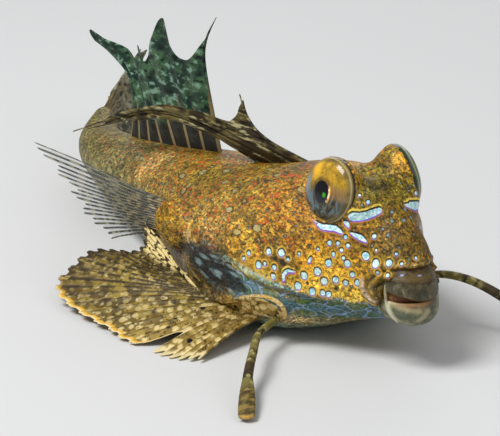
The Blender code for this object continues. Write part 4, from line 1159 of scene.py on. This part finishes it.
def finMesh(name, look, guides):
    look = finDefaults | look
    rays, gaps = look["rays"], look["rays"] - 1
    mesh, u, t = gridMesh(name, gaps * look["perRay"], look["rows"])
    ray = np.abs(np.cos(math.pi * u * gaps))
    random = np.random.default_rng(look["seed"])
    uneven = np.interp(u * gaps, np.arange(rays), random.uniform(-1, 0, rays)) * look["uneven"]
    notch = np.interp(u, *zip(*look["notch"])) if isinstance(look["notch"], tuple) else look["notch"]
    reach = 1 - notch * (1 - ray ** look["sharp"]) + uneven
    if look["margin"]:
        reach = reach * smoothTable(look["margin"], u * gaps, 1)
    reach = reach - look["fringe"] * (1 + np.cos(6 * math.pi * u * gaps)) / 2
    for centre, width, depth in look["splits"]:
        reach = reach - depth * np.exp(-((u - centre) / width) ** 2)
    places = fanPlace([np.asarray(g, float) for g in guides], u, t * reach)
    root = np.clip(1 - t * look["rows"] / 2, 0, 1)[:, None]
    places = places + np.array(look["sink"]) * root
    writePlaces(mesh, places)
    normals = readNormals(mesh)
    pleat = look["pleat"] * np.cos(2 * math.pi * u * gaps) * np.clip(t * 4, 0, 1)
    wave = look["wave"] * np.sin(u * 17 + 2.2) * t**2
    places = places + normals * (pleat + wave)[:, None]
    places[:, 2] = np.maximum(places[:, 2], floorGap)
    writePlaces(mesh, places)
    flesh = look["flesh"] * np.clip(1 - t / look["fleshEnd"], 0, 1) ** 0.7
    thin = np.clip((t - 0.55) / 0.45, 0, 1) ** 1.5
    thick = (look["web"] + look["ridge"] * ray**6) * (1 - thin) + look["edge"] * thin + flesh
    writeVector(mesh, "finMap", np.stack([u * gaps, t, t * reach], 1))
    holder = linkedObject("weighted", mesh)
    weights = holder.vertex_groups.new(name="thick")
    share = thick / thick.max()
    for i, w in enumerate(share):
        weights.add([i], float(w), "REPLACE")
    shell = holder.modifiers.new("shell", "SOLIDIFY")
    shell.thickness, shell.offset, shell.vertex_group = float(thick.max()), 0.0, "thick"
    made = bakedMesh(holder)
    bpy.data.meshes.remove(mesh)
    writePlaces(made, toMetres(readPlaces(made)))
    return made


firstDorsal = dict(
    spines=(((-34, 0, 26.4), (-45, -1.3, 28.0), (-50.6, -2.2, 30.8), (-52.9, -2.5, 34.9)),
            ((-39, 0, 25.2), (-51, -3.0, 27.6), (-63, -5.2, 29.2), (-75, -6.4, 28.4), (-92, -7.6, 22.3),
             (-108, -8.2, 16.0)),
            ((-44, 0, 23.8), (-55, -3.4, 26.2), (-67, -5.6, 27.8), (-80, -7.0, 26.2), (-92, -8.0, 21.4),
             (-101, -8.4, 18.2)),
            ((-49, 0, 22.6), (-55, -2.6, 24.8), (-62, -4.8, 26.7), (-74, -6.8, 26.6), (-86, -7.8, 23.0))),
    reach=(0.94, 0.86, 0.86, 0.9), thick=(0.55, 0.5, 0.4, 0.35),
    look=dict(rays=4, perRay=24, rows=90, notch=0.12, sharp=1.5,
              margin=((0, 1.0), (0.07, 0.82), (0.18, 0.7), (0.36, 0.6), (0.6, 0.6), (0.85, 0.8),
                      (1.0, 0.98), (3.0, 1.0)), sink=(0, 0, -2), pleat=0.25, wave=0.2, web=0.22,
              ridge=0.2, uneven=0.02))

secondDorsal = dict(
    rays=(((-63.5, 0, 20.2), (-67.6, 0, 29.0), (-70.4, 0, 37.0), (-69.6, 0, 41.4), (-66.2, 0, 46.0)),
          ((-69.0, 0, 19.2), (-72.6, 0, 25.6), (-75.2, 0, 30.2), (-77.0, 0, 33.4), (-78.4, 0, 35.8)),
          ((-74.5, 0, 18.2), (-78.6, 0, 25.2), (-81.8, 0, 31.4), (-84.4, 0, 37.0), (-86.6, 0, 42.0)),
          ((-80.0, 0, 17.4), (-84.0, 0, 22.8), (-87.2, 0, 27.4), (-90.0, 0, 31.0), (-92.2, 0, 34.2)),
          ((-85.5, 0, 16.6), (-89.2, 0.2, 21.8), (-92.2, 0.4, 26.6), (-94.8, 0.6, 30.8),
           (-97.4, 0.8, 34.6)),
          ((-91.0, 0.2, 15.8), (-93.6, 0.6, 21.4), (-96.6, 1.0, 26.0), (-100.6, 1.4, 30.0),
           (-105.4, 1.8, 32.6)),
          ((-96.0, 0.6, 14.8), (-97.8, 1.0, 21.6), (-101.2, 1.6, 27.6), (-110.2, 2.2, 31.2),
           (-121.0, 2.6, 32.9)),
          ((-101.0, 1.2, 14.0), (-101.0, 1.6, 20.4), (-103.6, 2.2, 26.4), (-110.6, 2.8, 28.8),
           (-120.0, 3.4, 30.4))),
    look=dict(rays=8, perRay=20, rows=90, notch=0.05, sharp=1.4, sink=(0, 0, -1.2), pleat=0.3, wave=0.3,
              web=0.2, ridge=0.4, uneven=0.0,
              margin=((0, 1.0), (0.08, 0.8), (0.2, 0.82), (0.5, 0.87), (0.8, 0.94), (1.0, 1.0),
                      (1.3, 1.03), (1.6, 1.05), (1.85, 1.01), (2.0, 1.0), (2.3, 1.02), (2.6, 1.04),
                      (2.8, 1.02), (3.0, 0.96), (3.4, 0.9), (3.8, 0.93), (4.0, 1.0), (4.15, 0.88),
                      (4.5, 0.86), (5.0, 0.98), (5.4, 1.03), (5.7, 1.02), (6.0, 1.0), (6.5, 0.98),
                      (7.0, 1.0))))

caudalFin = dict(
    tips=(17.0, 19.5, 18.5, 15.5, 12.0, 8.5, 5.4, 3.0, 1.4, 0.7),
    lengths=(26, 31, 34, 36, 37.5, 37, 35, 32.5, 29, 25),
    look=dict(rays=10, perRay=14, rows=60, notch=0.1, sink=(1.2, -0.8, 0), flesh=0.9, fleshEnd=0.12,
              pleat=0.2, wave=0.3))

analFin = dict(
    rays=7, look=dict(rays=7, perRay=12, rows=36, notch=0.22, sink=(0, -1, 0.5), pleat=0.15, wave=0.0))

pectoralFins = dict(
    right=(((-46, -13.0, 17.5), (-54.0, -18.6, 18.2), (-62.5, -28.0, 23.5), (-69.5, -35.6, 27.2)),
           ((-46, -13.0, 15.5), (-54.4, -19.0, 16.4), (-61.0, -27.0, 19.6), (-67.0, -33.8, 22.8)),
           ((-46, -13.0, 13.5), (-54.8, -19.2, 14.6), (-60.0, -26.0, 16.6), (-63.6, -31.8, 18.6)),
           ((-46, -13.0, 11.5), (-55.2, -19.2, 12.8), (-59.0, -25.0, 13.8), (-60.8, -30.0, 14.6)),
           ((-46, -13.0, 9.5), (-55.4, -18.8, 11.0), (-57.6, -22.8, 10.8), (-57.8, -26.4, 10.6))),
    left=(((-46, 13.0, 17.5), (-54.0, 18.2, 17.2), (-64.5, 21.2, 15.8), (-75.5, 22.6, 13.6)),
          ((-46, 13.0, 15.5), (-54.4, 18.6, 15.4), (-64.0, 22.2, 13.6), (-74.0, 24.0, 10.8)),
          ((-46, 13.0, 13.5), (-54.8, 18.8, 13.6), (-63.0, 22.6, 11.6), (-71.5, 24.8, 8.4)),
          ((-46, 13.0, 11.5), (-55.2, 18.8, 11.8), (-61.5, 22.4, 9.8), (-68.0, 24.6, 6.8)),
          ((-46, 13.0, 9.5), (-55.4, 18.4, 10.0), (-59.5, 21.0, 8.6), (-63.5, 22.8, 6.6))),
    look=dict(rays=18, perRay=8, rows=70, notch=0.1, sharp=0.9, sink=(1, 0, 0), flesh=1.6, fleshEnd=0.42,
              margin=((0, 1.0), (1, 1.0), (2, 0.97), (3, 0.9), (4, 0.94), (5, 0.96), (6, 0.9), (7, 0.87),
                      (8, 0.95), (9, 0.94), (10, 0.88), (11, 0.93), (12, 0.96), (13, 0.9), (14, 0.95),
                      (15, 0.9), (17, 0.96)), pleat=0.1, wave=0.15, web=0.1, ridge=0.42, uneven=0.02))

pelvicFins = dict(
    right=(((-27.0, -9.5, 4.2), (-24.2, -20.0, 3.0), (-20.6, -29.8, 0.2)),
           ((-28.0, -9.5, 4.1), (-28.0, -21.8, 3.6), (-27.8, -34.4, 0.2)),
           ((-29.2, -9.5, 3.9), (-33.4, -23.0, 4.1), (-40.4, -36.2, 0.3)),
           ((-31.0, -9.5, 3.6), (-44.0, -25.5, 5.0), (-59.8, -36.8, 2.4)),
           ((-33.5, -10.0, 3.6), (-48.0, -22.6, 5.6), (-66.6, -26.4, 5.6)),
           ((-37.0, -11.0, 4.0), (-48.0, -19.8, 6.6), (-58.0, -21.2, 8.0)),
           ((-37.5, -17.8, 3.2), (-44.0, -18.9, 6.4), (-50.0, -19.3, 10.0), (-57.0, -20.0, 13.6))),
    left=(((-27.0, 9.5, 4.2), (-29.0, 17.0, 2.8), (-33.0, 23.4, 0.2)),
          ((-28.0, 9.5, 4.1), (-32.5, 18.0, 3.0), (-40.5, 25.0, 0.2)),
          ((-29.2, 9.5, 3.9), (-37.0, 19.0, 3.2), (-50.5, 26.0, 0.3)),
          ((-31.0, 9.5, 3.6), (-42.5, 19.8, 3.6), (-62.5, 26.0, 1.2)),
          ((-33.5, 10.0, 3.6), (-47.0, 19.6, 4.4), (-68.0, 21.8, 3.2)),
          ((-37.0, 11.0, 4.0), (-48.0, 18.4, 5.8), (-60.0, 18.4, 6.4)),
          ((-37.5, 17.8, 3.2), (-44.0, 18.7, 6.2), (-50.0, 18.4, 9.2), (-58.0, 18.2, 12.0))),
    look=dict(rays=28, perRay=9, rows=90, sharp=1.2, splits=((0.215, 0.02, 0.26),), flesh=0.5,
              fleshEnd=0.3,
              notch=((0.0, 0.09), (0.17, 0.09), (0.24, 0.03), (0.6, 0.025), (0.85, 0.05), (1.0, 0.02)),
              pleat=0.12, wave=0.45, web=0.3, ridge=0.22, uneven=0.02, fringe=0.012))


def pelvicMaterial():
    p = Paint("pelvicWeb", roughness=0.5, sheen=0.2)
    u, t, _ = p.parts("finMap")
    colour = spottedFin(p, u)
    away = p.math("ABSOLUTE", p.math("SINE", p.both(u, math.pi)))
    colour = p.fade(colour, toned(p, colour, (0.3, 0.27, 0.2)), away, 0.4, 0.05, 0.6)
    rear = p.noise(1.0, p.flat(p.math("ROUND", u), p.both(t, 16.0)), detail=0.0)
    rear = p.both(p.band(u, 9.0, 15.0), p.band(rear, 0.56, 0.5))
    colour = p.lay(colour, "umber", p.both(rear, p.band(away, 0.7, 0.4)), 0.85)
    edge = p.both(p.band(t, 0.6, 0.9), p.band(u, 8.0, 14.0))
    colour = p.lay(colour, (0.10, 0.06, 0.015), p.both(edge, p.band(away, 0.5, 0.85)), 0.6)

    web = p.band(u, 22.4, 23.6)
    beads = p.band(p.noise(1.0, p.flat(p.both(u, 1.6), p.both(t, 16.0)), detail=1.0), 0.5, 0.42)
    beads = p.mix(beads, (0.88, 0.70, 0.30), "umber")
    colour = p.lay(colour, beads, web, 0.9)
    root = p.both(p.band(t, 0.24, 0.04), p.band(p.noise(0.9), 0.38, 0.56))
    colour = p.lay(colour, "yellow", root, 0.7)
    hem = p.both(p.band(t, 0.962, 0.978), p.band(u, 15.5, 12.5))
    colour = p.lay(colour, "gold", hem, 0.9)
    colour = p.lay(colour, "cream", p.both(p.band(t, 0.982, 0.994), p.band(u, 16.0, 13.0)))
    teeth = p.both(p.band(t, 0.94, 0.98), p.both(p.band(u, 13.0, 16.0), p.band(away, 0.35, 0.7)))
    colour = p.lay(colour, "umber", teeth, 0.85)
    colour = p.lay(colour, "cream", p.both(p.band(t, 0.9, 0.97), p.band(u, 6.4, 5.4)), 0.8)
    height = p.add(p.noise(1.5, detail=4.0), p.both(p.band(away, 0.5, 0.0), 0.7))
    return p.put(colour, height=height, bump=0.16)


def pectoralMaterial():
    p = Paint("clearPectoralWeb", roughness=0.3, coat=0.2)
    u, t, _ = p.parts("finMap")
    away = p.math("ABSOLUTE", p.math("SINE", p.both(u, math.pi)))
    ray = p.band(away, 0.6, 0.28)
    beat = p.noise(1.0, p.flat(p.math("ROUND", u), p.both(t, 15.0)), detail=0.0)
    dash = p.band(beat, 0.48, 0.58)
    colour = p.mix(dash, (0.012, 0.010, 0.007), (0.42, 0.35, 0.20))
    colour = p.mix(p.band(away, 0.06, 0.16, 0.6, 0.0), colour, (0.46, 0.42, 0.30))
    colour = p.mix(ray, (0.30, 0.34, 0.33), colour)
    mottle = p.noise(1.0, p.stretched((1.0, 1.0, 1.5)), detail=4.0)
    flesh = p.fade((0.12, 0.075, 0.014), (0.34, 0.24, 0.05), mottle, 0.42, 0.6)
    flesh = p.fade(flesh, (0.74, 0.66, 0.42), mottle, 0.58, 0.66, 0.8)
    flesh = p.fade(flesh, "umber", mottle, 0.42, 0.36, 0.8)
    edge = p.math("MULTIPLY_ADD", mottle, 0.3, p.add(t, -0.15))
    base = p.band(edge, 0.44, 0.3)
    colour = p.mix(base, colour, flesh)
    clear = p.band(t, 0.5, 0.32, 0.16, 0.9)
    alpha = p.math("MAXIMUM", p.math("MAXIMUM", p.band(away, 0.66, 0.34), base), clear)
    return p.put(colour, height=mottle, alpha=alpha)


def dorsalMaterial(name, dark, light, base, streak, greenish):
    # the colours are for the web, its clouds, its root and its spots; streak stretches the spots
    p = Paint(name, roughness=0.5, sheen=0.15)
    u, t, _ = p.parts("finMap")
    flat = p.flat(u, p.both(t, 9.0))
    clouds = p.noise(0.16, p.stretched((1.0, 1.0, 1.7)), detail=4.0, distortion=0.8)
    fine = p.noise(0.6, p.stretched(streak), detail=4.0)
    colour = p.fade(dark, light, clouds, 0.42, 0.58)
    colour = p.fade(colour, greenish, fine, 0.54, 0.64, 0.8)
    colour = p.fade(colour, tuple(c * 0.4 for c in dark), fine, 0.46, 0.36)
    away = p.math("ABSOLUTE", p.math("SINE", p.both(u, math.pi)))
    low = p.band(t, 0.34, 0.2)
    colour = p.lay(colour, base, low, 0.93)
    rays = p.both(p.band(away, 0.34, 0.14), p.band(t, 0.4, 0.22))
    colour = p.lay(colour, (0.40, 0.29, 0.12), rays, 0.9)
    colour = p.fade(colour, tuple(c * 0.5 for c in dark), away, 0.22, 0.08, 0.4)
    return p.put(colour, height=p.add(fine, p.noise(0.9, flat)), bump=0.14)


def addFins():
    spines = [np.array(s, float) for s in firstDorsal["spines"]]
    webs = [along(s, np.linspace(0, r, 6)) for s, r in zip(spines, firstDorsal["reach"])]
    pieces = [finMesh("web", firstDorsal["look"], webs)]
    for spine, thick in zip(spines, firstDorsal["thick"]):
        t = np.linspace(0, 1, 40)
        rod = tubeMesh(along(spine, t), np.maximum(0.12, thick * 0.9 * (1 - 0.8 * t)), 3)
        writeVector(rod, "finMap", np.tile([0.5, 0.6, 0.0], (len(rod.vertices), 1)))
        writePlaces(rod, toMetres(readPlaces(rod)))
        pieces.append(rod)
    streaked = dorsalMaterial("streakedDorsal", (0.026, 0.018, 0.006), (0.13, 0.10, 0.03),
                              (0.04, 0.026, 0.010), (0.25, 1.2, 2.4), (0.40, 0.36, 0.18))
    addPiece("firstDorsalFin", joinedMesh("firstDorsal", pieces), streaked,
             ("dorsal_fin_first",))

    marbled = dorsalMaterial("marbledDorsal", (0.008, 0.029, 0.017), (0.050, 0.108, 0.048),
                             (0.012, 0.007, 0.003), (0.7, 1.0, 1.6), (0.20, 0.34, 0.24))
    addPiece("secondDorsalFin", finMesh("secondDorsal", secondDorsal["look"], secondDorsal["rays"]),
             marbled, ("dorsal_fin_second",))

    low, high = (float(smoothTable(body["sections"], np.array(133.0), c)) for c in (2, 1))
    guides, f = [], np.array([0.0, 0.33, 0.66, 1.0])
    for k, (tip, length) in enumerate(zip(caudalFin["tips"], caudalFin["lengths"])):
        start = low + (high - low) * (0.08 + 0.84 * (1 - k / (len(caudalFin["tips"]) - 1)))
        guides.append(fishPlace(131.5 + length * f, 0.0, start + (tip - start) * f**0.8))
    tailWeb = dorsalMaterial("mottledCaudal", (0.075, 0.065, 0.028), (0.26, 0.23, 0.12),
                             (0.16, 0.13, 0.06), (0.8, 0.8, 1.2), (0.42, 0.40, 0.28))
    addPiece("caudalFin", finMesh("caudal", caudalFin["look"], guides), tailWeb,
             ("caudal_fin",))

    guides = []
    for k in range(analFin["rays"]):
        station = 80 + 26 * k / 6
        foot = float(smoothTable(body["sections"], np.array(station), 2))
        length = 7.0 + 4.0 * math.sin(math.pi * (k + 0.6) / 7)
        root, tip = fishPlace(station, 0.2, foot + 0.9), fishPlace(station + 4.5, length, 0.4)
        guides.append([root, (root + tip) / 2, tip])
    analWeb = dorsalMaterial("darkAnal", (0.05, 0.045, 0.03), (0.14, 0.13, 0.09), (0.1, 0.08, 0.05),
                             (0.8, 0.8, 1.2), (0.3, 0.33, 0.4))
    addPiece("analFin", finMesh("anal", analFin["look"], guides), analWeb, ("anal_fin",))

    clear, spotted = pectoralMaterial(), pelvicMaterial()
    for side, sign in (("right", -1), ("left", 1)):
        addPiece(side + "PectoralFin", finMesh("pectoral", pectoralFins["look"], pectoralFins[side]),
                 clear, ("pectoral_fin_" + side,))
        look = dict(pelvicFins["look"], sink=(0, -sign * 2.0, 0.4))
        addPiece(side + "PelvicFin", finMesh("pelvic", look, pelvicFins[side]), spotted,
                 ("pelvic_fin_" + side,))


addFins()
print("fins made")

# Fingers
fingers = dict(
    right=((-24.0, -11.0, 4.2), (-18.0, -19.4, 4.4), (-11.0, -25.0, 4.2), (-4.4, -30.0, 2.6),
           (5.0, -35.8, 0.75)),
    left=((-24.0, 11.0, 4.2), (-17.5, 14.0, 8.6), (-10.5, 16.6, 9.6), (-4.0, 20.6, 7.0),
          (3.4, 27.0, 0.75)),
    root=0.62, middle=0.95, spread=1.45, digits=4, voxel=0.16,
    # shares of the length: where the rod ends and where its four digits part, and the digits' radii
    rodEnd=0.92, digitStart=0.72, digitRadii=(0.55, 0.6, 0.5, 0.3))


def fingerMaterial():
    p = Paint("bandedFinger", roughness=0.45)
    t = p.attribute("fingerPlace")
    bands = p.noise(9.0, p.flat(t), detail=1.0)
    fine = p.noise(1.8, detail=4.0)
    bands = p.add(bands, p.both(fine, 0.25))
    colour = p.fade((0.026, 0.020, 0.006), (0.18, 0.155, 0.040), bands, 0.52, 0.62)
    colour = p.fade(colour, (0.34, 0.31, 0.13), fine, 0.58, 0.7, 0.5)
    blotch = p.add(p.cells(0.75), p.math("MULTIPLY_ADD", fine, 0.5, -0.25))
    colour = p.fade(colour, (0.46, 0.38, 0.17), blotch, 0.42, 0.24, 0.7)
    wrist = p.math("ABSOLUTE", p.math("SUBTRACT", t, 0.66))
    colour = p.fade(colour, "umber", wrist, 0.07, 0.03, 0.9)
    grooves = p.noise(1.0, p.stretched((1.5, 0.35, 1.5), turned=(0, 0, 0.6)), detail=3.0)
    paddle = p.fade((0.055, 0.034, 0.008), (0.27, 0.18, 0.04), grooves, 0.42, 0.6)
    colour = p.fade(colour, paddle, t, 0.76, 0.86, 0.85)
    colour = p.fade(colour, (0.62, 0.36, 0.08), t, 0.975, 0.995, 0.7)
    return p.put(colour, height=fine, bump=0.12)


def addFinger(side, material):
    path = np.array(fingers[side], float)
    t = np.linspace(0, fingers["rodEnd"], 50)
    radii = fingers["root"] + (fingers["middle"] - fingers["root"]) * (t / fingers["rodEnd"]) ** 1.5
    rods = [tubeMesh(along(path, t), radii)]
    ahead = along(path, np.array(1.0)) - along(path, np.array(0.9))
    ahead /= np.linalg.norm(ahead)
    across = np.cross(ahead, (0, 0, 1))
    across /= np.linalg.norm(across)
    start, tip = along(path, np.array(fingers["digitStart"])), path[-1]
    for k in range(fingers["digits"]):
        out = (k / (fingers["digits"] - 1) - 0.5) * 2
        spread = across * out * (fingers["spread"] - 0.5)
        bend = (start + tip) / 2 + spread * 0.8
        line = [start + spread * 0.3, bend, tip + spread - ahead * 0.5 * abs(out)]
        f = np.linspace(0, 1, 16)
        rods.append(tubeMesh(along(line, f), np.interp(f, (0, 0.3, 0.85, 1), fingers["digitRadii"]), 3))
    bm = bmesh.new()
    for rod in rods:
        bm.from_mesh(rod)
    mesh = meshFrom(remeshed(bm, fingers["voxel"]), "finger")
    places = readPlaces(mesh)
    samples = along(path, np.linspace(0, 1, 200))
    nearest = np.argmin(np.linalg.norm(places[:, None] - samples[None], axis=2), axis=1)
    writeNumber(mesh, "fingerPlace", nearest / 199)
    places[:, 2] = np.maximum(places[:, 2], 0.05)
    writePlaces(mesh, toMetres(places))
    addPiece(side + "Finger", mesh, material, ("pelvic_finger_" + side,))


banded = fingerMaterial()
for fingerSide in ("right", "left"):
    addFinger(fingerSide, banded)
print("fingers made")

# Floor and light
studio = dict(
    floorSize=6.0, floor=(0.66, 0.66, 0.655), keyPower=6.0, fillPower=0.9, rimPower=0.7, sky=0.34,
    skyColour=(0.93, 0.96, 1.0))


def addFloor():
    bm = bmesh.new()
    bmesh.ops.create_grid(bm, x_segments=1, y_segments=1, size=studio["floorSize"] / 2)
    floor = linkedObject("floor", meshFrom(bm, "floor"))
    p = Paint("paleFloor", roughness=0.75)
    p.shader.inputs["Base Color"].default_value = (*studio["floor"], 1.0)
    floor.data.materials.append(p.material)


def addLamp(name, right, up, back, power, size):
    aim = Vector(toMetres(view["aim"]))
    away = viewRight * right + Vector((0, 0, 1)) * up + viewBack * back
    data = bpy.data.lights.new(name, "AREA")
    data.energy, data.size = power, size
    linkedObject(name, data).matrix_world = turnedTo(aim + away, away)


addFloor()
addLamp("keyLamp", -0.38, 0.62, 0.22, studio["keyPower"], 0.34)
addLamp("fillLamp", 0.55, 0.3, 0.5, studio["fillPower"], 0.6)
addLamp("rimLamp", 0.1, 0.5, -0.6, studio["rimPower"], 0.4)
scene.world = bpy.data.worlds.new("studioSky")
scene.world.use_nodes = True
background = scene.world.node_tree.nodes["Background"]
background.inputs["Color"].default_value = (*studio["skyColour"], 1.0)
background.inputs["Strength"].default_value = studio["sky"]
print("floor and light set")
